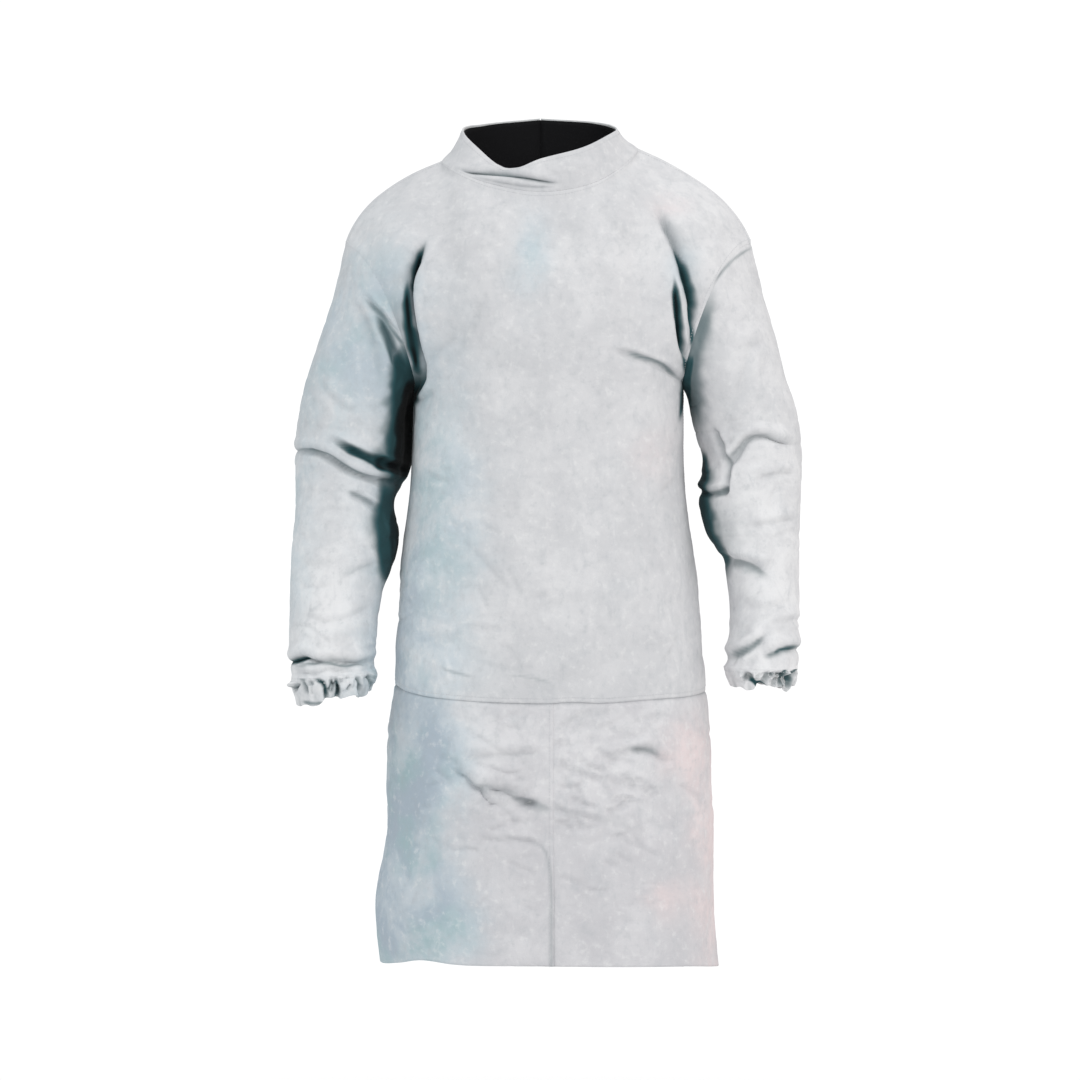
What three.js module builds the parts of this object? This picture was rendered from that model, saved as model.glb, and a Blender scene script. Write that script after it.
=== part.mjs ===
// Long-sleeved work apron of split leather, as it hangs when worn. A front panel and a two-piece skirt
// cover the front and sides, two back panels leave the back open, and the sleeves end in gathered cuffs.
// A soft stand collar has a dark lining, and two plain straps close the back. Millimetres. +Z is up, -Y
// is the apron's front, and +X is the right-hand side seen from the front. The origin is the middle of
// the neck opening, at the height where the collar sits on the shoulders.

import * as THREE from "three";

// Driving dimensions
const LEATHER = 1.8; // wall of the split leather
const LINING = 1; // wall of the collar lining
const LINING_MARGIN = 2; // how far it stops short of the collar's edges
const SEAM_GAP = 0.7; // between two panels that are sewn edge to edge
const LAP_GAP = 0.85; // between two layers that lie on each other
const SKIVE = 1.5; // how far the inside of a sewn edge is cut back, so that a seam can bend
const WAIST_LAP = 16; // how far the front panel hangs over the skirt
const SKIRT_LAP = 12; // how far the left half of the skirt lies over the right half
const SKIRT_SEAM_X = 5; // where the skirt's two halves meet
const WAIST_FRONT = -626; // lower edge of the front panel, at the middle of the front
const WAIST_SIDE = -618; // and at the sides
const ARMPIT = -262;
const CHEST_FULLNESS = 17; // how far the chest stands in front of a straight line from armpit level to neck
const BACK_FULLNESS = 14;
const SHOULDER_RISE = 26; // how far the shoulder seam rounds up over a straight line
const SHOULDER_ROUND = 9; // how far the panels round out just below that seam
const SQUARENESS = 2.3; // exponent of the body's oval sections: 2 is an ellipse
const GATHERS = 15; // folds round each cuff
const NAPE_STRAP_HEIGHT = 26;
const BACK_STRAP_HEIGHT = 34;
const BACK_STRAP_LEVEL = -430;
const STRAP_OVERLAP = 34; // how far the back strap lies on each back panel

// Oval sections of the upper body, from the waist to the armpit. left, right, front and back are
// distances from the Z axis, and side_seam and back_edge are bearings round it, in degrees from the
// middle of the front.
const BODY = [
  { level: -640, left: 183, right: 188, front: 141, back: 130, side_seam: 103, back_edge: 119 },
  { level: -540, left: 177, right: 181, front: 138, back: 125, side_seam: 101, back_edge: 123 },
  { level: -460, left: 173, right: 171, front: 134, back: 120, side_seam: 99, back_edge: 128 },
  { level: -370, left: 163, right: 161, front: 130, back: 115, side_seam: 96, back_edge: 138 },
  { level: -262, left: 158, right: 159, front: 126, back: 111, side_seam: 90, back_edge: 152 },
];

// Sections of the skirt below the waist seam. wrap is the bearing of the free side edges.
const SKIRT = [
  { level: -650, left: 186, right: 189, front: 142, back: 130, wrap: 118 },
  { level: -695, left: 188.5, right: 191.5, front: 145, back: 131, wrap: 115 },
  { level: -740, left: 190, right: 193, front: 146, back: 132, wrap: 112 },
  { level: -775, left: 188.5, right: 194, front: 146, back: 133, wrap: 110 },
  { level: -808, left: 191.5, right: 194.5, front: 147, back: 134, wrap: 108 },
  { level: -865, left: 202, right: 196, front: 148, back: 136, wrap: 105 },
  { level: -905, left: 201, right: 197.5, front: 149, back: 138, wrap: 103 },
  { level: -945, left: 197, right: 202, front: 150, back: 140, wrap: 102 },
];

// The hem's height, by bearing.
const HEM = [
  { bearing: -102, level: -941 },
  { bearing: -75, level: -936 },
  { bearing: -60, level: -931 },
  { bearing: -45, level: -924 },
  { bearing: -28, level: -926 },
  { bearing: 0, level: -925.5 },
  { bearing: 45, level: -931 },
  { bearing: 75, level: -940 },
  { bearing: 102, level: -950 },
];

// Sections of the sleeves, from the armhole seam to the cuff. Seen from the front, each runs from an
// outer point to an inner one. middle, front and back are its depths: where it is centred, and how far
// it reaches each way. bow is how far its front half bends in over the chest, and tuck is how far its
// back half reaches in behind the body.
const SLEEVE_COLUMNS = [
  "outer_x", "outer_z", "inner_x", "inner_z", "middle", "front", "back", "bow", "tuck",
];
const SLEEVES = {
  left: [
    [-239, -96, -158, -262, 0, 71, 73, 19, 0],
    [-252, -150, -164, -276, 4, 72, 71, 13, 8],
    [-269, -203, -167, -291, 7, 71, 70, 6, 18],
    [-285.5, -256, -168, -312, 8, 69, 69, 2, 25],
    [-295, -302, -169, -338, 8, 68, 67, 0, 26],
    [-298, -345, -172, -368, 7, 67, 66, 0, 22],
    [-298, -394, -180, -402, 3, 65, 64, 0, 10],
    [-300, -438, -175.5, -440, -3, 63, 62, 0, 8],
    [-301, -478, -186, -477, -11, 60, 59, 0, 0],
    [-301, -512, -197, -509, -20, 57, 56, 0, 0],
    [-301.5, -552, -201, -548, -31, 53.5, 52.5, 0, 0],
    [-300, -603, -200.5, -594, -44, 50, 49, 0, 0],
  ],
  right: [
    [239, -94, 159, -262, 0, 71, 73, 20, 0],
    [252, -143, 164, -275, 4, 72, 71, 14, 0],
    [265, -190, 167, -288, 7, 71, 70, 6, 0],
    [278, -243, 171, -305, 8, 69, 69, 2, 0],
    [291.5, -290, 176, -323, 8, 68, 67, 0, 0],
    [296.5, -338, 182, -350, 7, 67, 66, 0, 0],
    [296, -385, 176.5, -392, 4, 65, 64, 0, 0],
    [295, -432, 184, -434, -3, 62, 61, 0, 0],
    [294, -470, 203, -470, -11, 56, 55, 0, 0],
    [294.5, -520, 211, -520, -24, 50, 49, 0, 0],
    [291.5, -592, 205, -590, -42, 47, 46, 0, 0],
  ],
};

// Rings of the cuffs, from the sleeve's end to the free edge. drop is the distance down from there on
// the outer and inner side, girth is a share of the sleeve's last section, and gather is the depth of
// the folds.
const CUFFS = {
  left: [
    { outer_drop: 0, inner_drop: 0, girth: 1, gather: 0.4 },
    { outer_drop: 8, inner_drop: 6, girth: 1.02, gather: 1.2 },
    { outer_drop: 16, inner_drop: 12, girth: 0.99, gather: 3 },
    { outer_drop: 23, inner_drop: 17, girth: 0.93, gather: 4.5 },
    { outer_drop: 32, inner_drop: 24, girth: 0.89, gather: 5 },
  ],
  right: [
    { outer_drop: 0, inner_drop: 0, girth: 1, gather: 0.4 },
    { outer_drop: 6, inner_drop: 6, girth: 1.01, gather: 1.2 },
    { outer_drop: 12, inner_drop: 12, girth: 0.99, gather: 3 },
    { outer_drop: 17, inner_drop: 17, girth: 0.93, gather: 4.5 },
    { outer_drop: 22, inner_drop: 22, girth: 0.91, gather: 5 },
  ],
};

// The collar, by bearing from the middle of the front, positive towards +X. The base is its seam on the
// shoulders and the rim its free edge; roll is how far the wall bellies out between them.
const COLLAR = [
  { bearing: -178, base_x: -10.5, base_y: 70, base_z: 14, rim_x: -10.5, rim_y: 75, rim_z: 61, roll: 2 },
  { bearing: -135, base_x: -92, base_y: 46, base_z: 9, rim_x: -76, rim_y: 47, rim_z: 52, roll: 1 },
  { bearing: -90, base_x: -123, base_y: 2, base_z: 2, rim_x: -101, rim_y: 2, rim_z: 41, roll: -2 },
  { bearing: -60, base_x: -104, base_y: -42, base_z: -14, rim_x: -84, rim_y: -38, rim_z: 17, roll: 2 },
  { bearing: -32, base_x: -66, base_y: -66, base_z: -31, rim_x: -48, rim_y: -64, rim_z: -11, roll: 7 },
  { bearing: 0, base_x: -8, base_y: -74, base_z: -41, rim_x: -6, rim_y: -74, rim_z: 0, roll: 6 },
  { bearing: 32, base_x: 48, base_y: -65, base_z: -31, rim_x: 40, rim_y: -65, rim_z: 13, roll: 4 },
  { bearing: 60, base_x: 85, base_y: -40, base_z: -8, rim_x: 70, rim_y: -38, rim_z: 30, roll: 1 },
  { bearing: 90, base_x: 103, base_y: 2, base_z: 17, rim_x: 81, rim_y: 2, rim_z: 42, roll: -2 },
  { bearing: 135, base_x: 75, base_y: 46, base_z: 15, rim_x: 58, rim_y: 47, rim_z: 54, roll: 1 },
  { bearing: 178, base_x: -7.5, base_y: 70, base_z: 14, rim_x: -7.5, rim_y: 75, rim_z: 61, roll: 2 },
];
const NECK_SIDE = { left: -90, right: 90 }; // bearings where the shoulder seams meet the collar

// The main creases, as lines seen from the front: where each starts and ends, how deep and how wide it is.
// The leather above a crease swells by a share of its depth, the lip.
const CREASES = {
  front_panel: [
    { from_x: -156, from_z: -262, to_x: -148, to_z: -118, depth: 17, width: 16, lip: 0.3 },
    { from_x: 128, from_z: -60, to_x: 167, to_z: -205, depth: 14, width: 16, lip: 0.3 },
    { from_x: 100, from_z: -228, to_x: 154, to_z: -256, depth: 4, width: 12, lip: 0.5 },
    { from_x: -104, from_z: -212, to_x: -141, to_z: -244, depth: 4, width: 14, lip: 0.3 },
  ],
  skirt: [
    { from_x: -84, from_z: -687, to_x: 0, to_z: -686, depth: 4, width: 12, lip: 0.5 },
    { from_x: -100, from_z: -706, to_x: 4, to_z: -743, depth: 6, width: 14, lip: 0.8 },
    { from_x: 84, from_z: -679, to_x: 142, to_z: -692, depth: 4, width: 12, lip: 0.5 },
  ],
  sleeve_left: [
    { from_x: -196, from_z: -163, to_x: -174, to_z: -226, depth: 6, width: 14, lip: 0.4 },
    { from_x: -306, from_z: -332, to_x: -168, to_z: -381, depth: 9, width: 12, lip: 0.7 },
    { from_x: -232, from_z: -386, to_x: -182, to_z: -402, depth: 5, width: 12, lip: 0.5 },
    { from_x: -310, from_z: -577, to_x: -250, to_z: -579, depth: 7, width: 10, lip: 0.7 },
  ],
  sleeve_right: [
    { from_x: 190, from_z: -150, to_x: 161, to_z: -240, depth: 6, width: 14, lip: 0.4 },
    { from_x: 206, from_z: -351, to_x: 282, to_z: -322, depth: 7, width: 12, lip: 0.7 },
    { from_x: 176, from_z: -408, to_x: 244, to_z: -416, depth: 4, width: 12, lip: 0.5 },
    { from_x: 200, from_z: -464, to_x: 256, to_z: -474, depth: 7, width: 12, lip: 0.7 },
    { from_x: 204, from_z: -574, to_x: 246, to_z: -556, depth: 6, width: 10, lip: 0.7 },
  ],
};

// How finely the pieces are divided. Two pieces have the same number of spans along the seam that joins
// them.
const SPANS = {
  armhole: 10, // half way round
  side_seam: 8,
  shoulder_seam: 6,
  neck_front: 6, // from the shoulder seam to the middle
  neck_back: 4,
  skirt_around: 16,
  skirt_along: 12,
  sleeve_along: 25,
  cuff_around: 3 * GATHERS,
  cuff_along: 4,
  collar_along: 5,
  strap_across: 2,
  strap_free: 4, // between the two pieces that a strap joins
  strap_held: 3, // on each of them
};

const LEATHER_LOOK = { color: 0xd3d7da, roughness: 0.95, metalness: 0 };
const LINING_LOOK = { color: 0x0b0c0d, roughness: 0.9, metalness: 0 };

const radians = (degrees) => (degrees * Math.PI) / 180;
const mix = (a, b, t) => a + (b - a) * t;

function easeInOut(t) {
  const x = Math.min(Math.max(t, 0), 1);
  return x * x * (3 - 2 * x);
}

// Reads one column of a table at a place given in its key column, on a smooth curve through the rows.
function read(table, key, place, column) {
  const rising = table[0][key] < table[table.length - 1][key];
  const rows = rising ? table : [...table].reverse();
  const last = rows.length - 1;
  let i = 0;
  while (i < last - 1 && place > rows[i + 1][key]) i += 1;
  const slope = (k) => {
    const a = rows[Math.max(k - 1, 0)];
    const b = rows[Math.min(k + 1, last)];
    return (b[column] - a[column]) / (b[key] - a[key]);
  };
  const span = rows[i + 1][key] - rows[i][key];
  const t = Math.min(Math.max((place - rows[i][key]) / span, 0), 1);
  const start = rows[i][column];
  const end = rows[i + 1][column];
  const leaving = slope(i) * span;
  const arriving = slope(i + 1) * span;
  const bend = (1 - t) * leaving - t * arriving + (2 * t - 1) * (end - start);
  return mix(start, end, t) + t * (1 - t) * bend;
}

// Numbers a table's rows 0 to 1 in a column called along, so that it can be read between its rows.
const numbered = (table) => table.map((row, i) => ({ ...row, along: i / (table.length - 1) }));

// A point of an oval section at a bearing in degrees from the middle of the front.
function ovalPoint(section, bearing, level) {
  const sine = Math.sin(radians(bearing));
  const cosine = Math.cos(radians(bearing));
  const power = 2 / SQUARENESS;
  const width = sine < 0 ? section.left : section.right;
  const depth = cosine > 0 ? section.front : section.back;
  const x = Math.sign(sine) * Math.abs(sine) ** power * width;
  const y = -Math.sign(cosine) * Math.abs(cosine) ** power * depth;
  return new THREE.Vector3(x, y, level);
}

function sectionAt(table, level) {
  const section = {};
  for (const column of Object.keys(table[0])) section[column] = read(table, "level", level, column);
  return section;
}

// A grid of points for a sheet: u runs from 0 to 1 anticlockwise seen from above, and v from 0 at the
// foot to 1 at the top, so that the sheet's outside is the side where u to the right goes with v up. A
// closed grid is a tube.
function makeGrid(columns, rows, pointAt, closed = false) {
  const width = closed ? columns : columns + 1;
  const points = [];
  for (let j = 0; j <= rows; j += 1) {
    const row = [];
    for (let i = 0; i < width; i += 1) row.push(pointAt(i / columns, j / rows));
    points.push(row);
  }
  return { points, closed };
}

function neighbours(grid, i, j) {
  const { points, closed } = grid;
  const width = points[0].length;
  const column = (k) => (closed ? (k + width) % width : Math.min(Math.max(k, 0), width - 1));
  return {
    before: points[j][column(i - 1)],
    after: points[j][column(i + 1)],
    below: points[Math.max(j - 1, 0)][i],
    above: points[Math.min(j + 1, points.length - 1)][i],
  };
}

function eachPoint(grid, change) {
  return { ...grid, points: grid.points.map((row, j) => row.map((point, i) => change(point, i, j))) };
}

function normalAt(grid, i, j) {
  const { before, after, below, above } = neighbours(grid, i, j);
  const across = after.clone().sub(before);
  const up = above.clone().sub(below);
  return across.cross(up).normalize();
}

// Evens out a sheet, as leather does that is too stiff for sharp bends. Its edges stay where they are.
function relax(grid, passes) {
  let relaxed = grid;
  for (let pass = 0; pass < passes; pass += 1) {
    const from = relaxed;
    relaxed = eachPoint(from, (point, i, j) => {
      const atSide = i === 0 || i === from.points[j].length - 1;
      const atEnd = j === 0 || j === from.points.length - 1;
      if (atSide || atEnd) return point;
      const { before, after, below, above } = neighbours(from, i, j);
      const mean = before.clone().add(after).add(below).add(above).multiplyScalar(0.25);
      return point.clone().lerp(mean, 0.5);
    });
  }
  return relaxed;
}

// How far a crease presses a point inwards; negative where the leather swells above it.
function creaseDepth(crease, x, z) {
  const { from_x, from_z, to_x, to_z, depth, width, lip } = crease;
  const length = Math.hypot(to_x - from_x, to_z - from_z);
  const along = ((x - from_x) * (to_x - from_x) + (z - from_z) * (to_z - from_z)) / length ** 2;
  const rising = ((z - from_z) * (to_x - from_x) - (x - from_x) * (to_z - from_z)) / length;
  const across = (Math.sign(to_x - from_x) * rising) / width;
  const fade = easeInOut((along + 0.15) / 0.3) * easeInOut((1.15 - along) / 0.3);
  const valley = Math.exp(-(across ** 2));
  const swell = lip * Math.exp(-((across - 1.5) ** 2));
  return depth * fade * (valley - swell);
}

// Presses creases into the outside of a sheet that faces the front. Seams hold them off: held gives the
// distance to the nearest one, by spans.
function crease(grid, creases, held) {
  return offset(grid, (point, i, j) => {
    const facing = easeInOut(0.5 - 1.5 * normalAt(grid, i, j).y) * easeInOut(held(i, j) / 2);
    return -facing * creases.reduce((sum, one) => sum + creaseDepth(one, point.x, point.z), 0);
  });
}

// Draws in the edges of a sheet that are named: its foot, top, start and end.
function drawIn(grid, edges, distance) {
  const rows = grid.points.length - 1;
  const shorten = (point, towards) => point.clone().lerp(towards, distance / point.distanceTo(towards));
  return eachPoint(grid, (point, i, j) => {
    const row = grid.points[j];
    const columns = row.length - 1;
    let drawn = point;
    if (edges.includes("start") && i === 0) drawn = shorten(drawn, row[1]);
    if (edges.includes("end") && i === columns) drawn = shorten(drawn, row[columns - 1]);
    if (edges.includes("foot") && j === 0) drawn = shorten(drawn, grid.points[1][i]);
    if (edges.includes("top") && j === rows) drawn = shorten(drawn, grid.points[rows - 1][i]);
    return drawn;
  });
}

// Moves a sheet along its normals by a distance, or by one that is worked out for each point.
function offset(grid, distance) {
  return eachPoint(grid, (point, i, j) => {
    const length = typeof distance === "function" ? distance(point, i, j) : distance;
    return point.clone().addScaledVector(normalAt(grid, i, j), length);
  });
}

// The closed wall between a sheet's outside and its inside. sewn names the edges that meet another piece.
function wall(sheet, thickness, sewn = []) {
  const grid = drawIn(sheet, sewn, SEAM_GAP / 2);
  const inside = drawIn(offset(grid, -thickness), sewn, SKIVE);
  const rows = grid.points.length;
  const width = grid.points[0].length;
  const positions = [];
  for (const layer of [grid, inside]) {
    for (const row of layer.points) for (const point of row) positions.push(point.x, point.y, point.z);
  }
  const outer = (i, j) => j * width + (i % width);
  const inner = (i, j) => rows * width + outer(i, j);
  const triangles = [];
  const quad = (a, b, c, d) => triangles.push(a, b, c, a, c, d);
  const spans = grid.closed ? width : width - 1;
  for (let i = 0; i < spans; i += 1) {
    for (let j = 0; j < rows - 1; j += 1) {
      quad(outer(i, j), outer(i + 1, j), outer(i + 1, j + 1), outer(i, j + 1));
      quad(inner(i, j + 1), inner(i + 1, j + 1), inner(i + 1, j), inner(i, j));
    }
    quad(inner(i, 0), inner(i + 1, 0), outer(i + 1, 0), outer(i, 0));
    quad(outer(i, rows - 1), outer(i + 1, rows - 1), inner(i + 1, rows - 1), inner(i, rows - 1));
  }
  for (let j = 0; j < rows - 1 && !grid.closed; j += 1) {
    quad(inner(0, j), outer(0, j), outer(0, j + 1), inner(0, j + 1));
    quad(outer(width - 1, j), inner(width - 1, j), inner(width - 1, j + 1), outer(width - 1, j + 1));
  }
  const geometry = new THREE.BufferGeometry();
  geometry.setAttribute("position", new THREE.Float32BufferAttribute(positions, 3));
  geometry.setIndex(triangles);
  geometry.computeVertexNormals();
  return geometry;
}

const named = (row) => Object.fromEntries(SLEEVE_COLUMNS.map((column, i) => [column, row[i]]));

// Sleeves. A section's u starts at the middle of the front and passes the side that faces +X first.
function sleeveRing(side, along) {
  const table = numbered(SLEEVES[side].map(named));
  const ring = {};
  for (const column of Object.keys(table[0])) ring[column] = read(table, "along", along, column);
  return ring;
}

function ringPoint(ring, side, u, girth = 1) {
  const sign = side === "left" ? -1 : 1;
  const outwards = sign * Math.sin(2 * Math.PI * u);
  const forwards = Math.cos(2 * Math.PI * u);
  const bow = sign * ring.bow * Math.max(forwards, 0) * (1 + 0.4 * outwards);
  const tuck = sign * ring.tuck * (2 * Math.max(-outwards, 0) * Math.max(-forwards, 0)) ** 2;
  return new THREE.Vector3(
    (ring.outer_x + ring.inner_x) / 2 + (outwards * girth * (ring.outer_x - ring.inner_x)) / 2 - bow - tuck,
    ring.middle - forwards * girth * (forwards > 0 ? ring.front : ring.back),
    (ring.outer_z + ring.inner_z) / 2 + (outwards * girth * (ring.outer_z - ring.inner_z)) / 2,
  );
}

function sleeve(side) {
  const pointAt = (u, v) => ringPoint(sleeveRing(side, 1 - v), side, u);
  const grid = makeGrid(2 * SPANS.armhole, SPANS.sleeve_along, pointAt, true);
  const held = (i, j) => Math.min(j, SPANS.sleeve_along - j);
  return wall(crease(grid, CREASES[`sleeve_${side}`], held), LEATHER, ["foot", "top"]);
}

// A point on the armhole seam, from the armpit at 0 to the top of the shoulder at 1, on its front or
// back half.
function armhole(side, share, half) {
  const ring = sleeveRing(side, 0);
  const innerTurn = side === "left" ? 0.25 : 0.75;
  const outwards = (side === "left") === (half === "front") ? -0.5 : 0.5;
  return ringPoint(ring, side, innerTurn + outwards * share);
}

// Cuffs
function cuff(side) {
  const table = numbered(CUFFS[side]);
  const last = sleeveRing(side, 1);
  const ringAt = (place) => ({
    ...last,
    outer_z: last.outer_z - read(table, "along", place, "outer_drop"),
    inner_z: last.inner_z - read(table, "along", place, "inner_drop"),
  });
  const pointAt = (u, v) => {
    const place = 1 - v;
    const ring = ringAt(place);
    const uneven = Math.sin(2 * Math.PI * (3 * u + 0.1)) * 0.9;
    const fold = Math.cos(2 * Math.PI * GATHERS * u + uneven);
    const depth = read(table, "along", place, "gather") * (0.75 + 0.25 * Math.sin(2 * Math.PI * 4 * u));
    const girth = read(table, "along", place, "girth") + (depth * (fold - 1)) / (2 * ring.front);
    return ringPoint(ring, side, u, girth);
  };
  return wall(makeGrid(SPANS.cuff_around, SPANS.cuff_along, pointAt, true), LEATHER, ["top"]);
}

// Collar
function collarPoint(bearing, share) {
  const at = (column) => read(COLLAR, "bearing", bearing, column);
  const base = new THREE.Vector3(at("base_x"), at("base_y"), at("base_z"));
  const rim = new THREE.Vector3(at("rim_x"), at("rim_y"), at("rim_z"));
  const outwards = new THREE.Vector3(base.x + 10, base.y, 0).normalize();
  const belly = at("roll") * Math.sin(Math.PI * share);
  return base.lerp(rim, share).addScaledVector(outwards, belly);
}

// The bearings of the collar's divisions, from its end behind the left shoulder round the front to the
// other end.
function collarBearings() {
  const { neck_back, neck_front } = SPANS;
  const start = COLLAR[0].bearing;
  const end = COLLAR[COLLAR.length - 1].bearing;
  const bearings = [start];
  for (let k = 1; k <= neck_back; k += 1) bearings.push(mix(start, NECK_SIDE.left, k / neck_back));
  for (let k = 1; k <= 2 * neck_front; k += 1) {
    bearings.push(mix(NECK_SIDE.left, NECK_SIDE.right, k / (2 * neck_front)));
  }
  for (let k = 1; k <= neck_back; k += 1) bearings.push(mix(NECK_SIDE.right, end, k / neck_back));
  return bearings;
}

function collarGrid() {
  const bearings = collarBearings();
  const around = bearings.length - 1;
  const pointAt = (u, v) => collarPoint(bearings[Math.round(u * around)], v);
  return makeGrid(around, SPANS.collar_along, pointAt);
}

const collar = () => wall(collarGrid(), LEATHER, ["foot"]);

function collarLining() {
  const inside = offset(collarGrid(), -(LEATHER + 1.2 * LAP_GAP));
  return wall(drawIn(inside, ["foot", "top"], LINING_MARGIN), LINING);
}

// The top edge of the front or back, by spans from the armhole: along the shoulder seam, then round the
// collar.
function shoulderEdge(side, span, neckSpans, neckEnd) {
  const tip = armhole(side, 1, "front");
  const share = span / SPANS.shoulder_seam;
  if (share < 1) {
    const rise = new THREE.Vector3(0, 0, SHOULDER_RISE * Math.sin(Math.PI * share ** 0.85));
    return tip.lerp(collarPoint(NECK_SIDE[side], 0), share ** 1.4).add(rise);
  }
  const round = (span - SPANS.shoulder_seam) / neckSpans;
  return collarPoint(mix(NECK_SIDE[side], neckEnd, round), 0);
}

// The part of a panel above armpit level: ruled from the chest row to the top edge, filled out, and
// drawn to the armhole seam near it. reach is 0 at the armhole and 1 where the seam no longer pulls.
function upperPoint({ foot, top, side, half, climb, reach, fullness }) {
  const seam = armhole(side, climb, half);
  const straight = armhole(side, 0, half).lerp(armhole(side, 1, half), climb);
  const pull = 1 - easeInOut(reach);
  const below = (1 - climb) / 0.12;
  const round = SHOULDER_ROUND * below * Math.exp(1 - below) * Math.sign(fullness) * easeInOut(5 * reach);
  const bulge = Math.sin(Math.PI * climb) * fullness * easeInOut(reach) + round * easeInOut(2.2 - 2 * reach);
  return foot.lerp(top, climb).addScaledVector(seam.sub(straight), pull).add(new THREE.Vector3(0, bulge, 0));
}

const waistLevel = (bearing) => mix(WAIST_SIDE, WAIST_FRONT, Math.max(Math.cos(radians(bearing)), 0));

// Front panel
function frontPanel() {
  const { side_seam: lower, armhole: upper, shoulder_seam, neck_front } = SPANS;
  const half = shoulder_seam + neck_front;
  const chest = sectionAt(BODY, ARMPIT);
  const pointAt = (u, v) => {
    const row = v * (lower + upper);
    if (row <= lower) {
      const seam = sectionAt(BODY, mix(WAIST_SIDE, ARMPIT, row / lower)).side_seam;
      const bearing = mix(-seam, seam, u);
      const level = mix(waistLevel(bearing), ARMPIT, row / lower);
      return ovalPoint(sectionAt(BODY, level), bearing, level);
    }
    const side = u < 0.5 ? "left" : "right";
    const reach = 1 - Math.abs(2 * u - 1);
    const foot = ovalPoint(chest, mix(-chest.side_seam, chest.side_seam, u), ARMPIT);
    const top = shoulderEdge(side, reach * half, neck_front, 0);
    const climb = (row - lower) / upper;
    return upperPoint({ foot, top, side, half: "front", climb, reach, fullness: -CHEST_FULLNESS });
  };
  const grid = relax(makeGrid(2 * half, lower + upper, pointAt), 3);
  const held = (i, j) => Math.min(i, 2 * half - i, j, lower + upper - j);
  return wall(crease(grid, CREASES.front_panel, held), LEATHER, ["start", "end", "top"]);
}

// Back panels
function backPanel(side) {
  const { side_seam: lower, armhole: upper, shoulder_seam, neck_back } = SPANS;
  const around = shoulder_seam + neck_back;
  const sign = side === "left" ? -1 : 1;
  const neckEnd = sign * COLLAR[COLLAR.length - 1].bearing;
  const pointAt = (u, v) => {
    const reach = side === "left" ? 1 - u : u;
    const row = v * (lower + upper);
    const level = mix(WAIST_SIDE, ARMPIT, Math.min(row / lower, 1));
    const section = sectionAt(BODY, level);
    const foot = ovalPoint(section, sign * mix(section.side_seam, section.back_edge, reach), level);
    if (row <= lower) return foot;
    const top = shoulderEdge(side, reach * around, neck_back, neckEnd);
    const climb = (row - lower) / upper;
    return upperPoint({ foot, top, side, half: "back", climb, reach, fullness: BACK_FULLNESS });
  };
  const grid = relax(makeGrid(around, lower + upper, pointAt), 3);
  return wall(grid, LEATHER, [side === "left" ? "end" : "start", "top"]);
}

// Skirt. Its top is tucked under the front panel, and the right half is tucked under the left one at the
// seam.
function skirtHalf(side) {
  const { skirt_around: around, skirt_along: along } = SPANS;
  const topLevel = WAIST_SIDE + WAIST_LAP;
  const flareAt = (level) => easeInOut((WAIST_FRONT - 4 - level) / 40);
  const pointAt = (u, v) => {
    const middle = mix(SKIRT[SKIRT.length - 1].level, topLevel, v);
    const above = sectionAt(BODY, middle);
    const below = sectionAt(SKIRT, middle);
    const section = {};
    for (const column of ["left", "right", "front", "back"]) {
      section[column] = mix(above[column], below[column], flareAt(middle));
    }
    const wrap = mix(above.back_edge - 1, below.wrap, flareAt(middle));
    const seam = (Math.asin(SKIRT_SEAM_X / section.right) * 180) / Math.PI;
    const lap = ((SKIRT_LAP / 2 / section.right) * 180) / Math.PI;
    const spans = (side === "left" ? 1 - u : u) * around;
    const lapEdge = side === "left" ? seam + lap : seam - lap;
    const nextEdge = side === "left" ? seam - lap : seam + lap;
    const free = side === "left" ? -wrap : wrap;
    const beyond = (spans - 1) / (around - 1);
    const bearing = spans < 1 ? mix(lapEdge, nextEdge, spans) : mix(nextEdge, free, beyond);
    const hem = read(HEM, "bearing", bearing, "level");
    return ovalPoint(section, bearing, mix(hem, topLevel, v));
  };
  const held = (i, j) => Math.min(along - j, Math.max((side === "left" ? around - i : i) - 1, 0));
  const grid = crease(makeGrid(around, along, pointAt), CREASES.skirt, held);
  const tucked = offset(grid, (point, i) => {
    const underFront = (LEATHER + 1.4 * LAP_GAP) * (1 - flareAt(point.z));
    const underLeft = side === "right" && i < 2 ? LEATHER + LAP_GAP : 0;
    return -underFront - underLeft;
  });
  return wall(tucked, LEATHER);
}

// Straps. Each lies on the two pieces that it joins and runs straight between them.
function napeStrap() {
  const { neck_back, strap_across, strap_free } = SPANS;
  const bearings = collarBearings();
  const held = Math.floor(neck_back / 2);
  const across = (bearing, v) => {
    const height = collarPoint(bearing, 1).distanceTo(collarPoint(bearing, 0));
    return collarPoint(bearing, 0.5 + ((v - 0.5) * NAPE_STRAP_HEIGHT) / height);
  };
  const spans = 2 * held + strap_free;
  const pointAt = (u, v) => {
    const span = Math.round(u * spans);
    if (span <= held) return across(bearings[bearings.length - 1 - held + span], v);
    if (span >= held + strap_free) return across(bearings[span - held - strap_free], v);
    const right = across(bearings[bearings.length - 1], v);
    return right.lerp(across(bearings[0], v), (span - held) / strap_free);
  };
  return wall(offset(makeGrid(spans, strap_across, pointAt), LEATHER + LAP_GAP), LEATHER);
}

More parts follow.
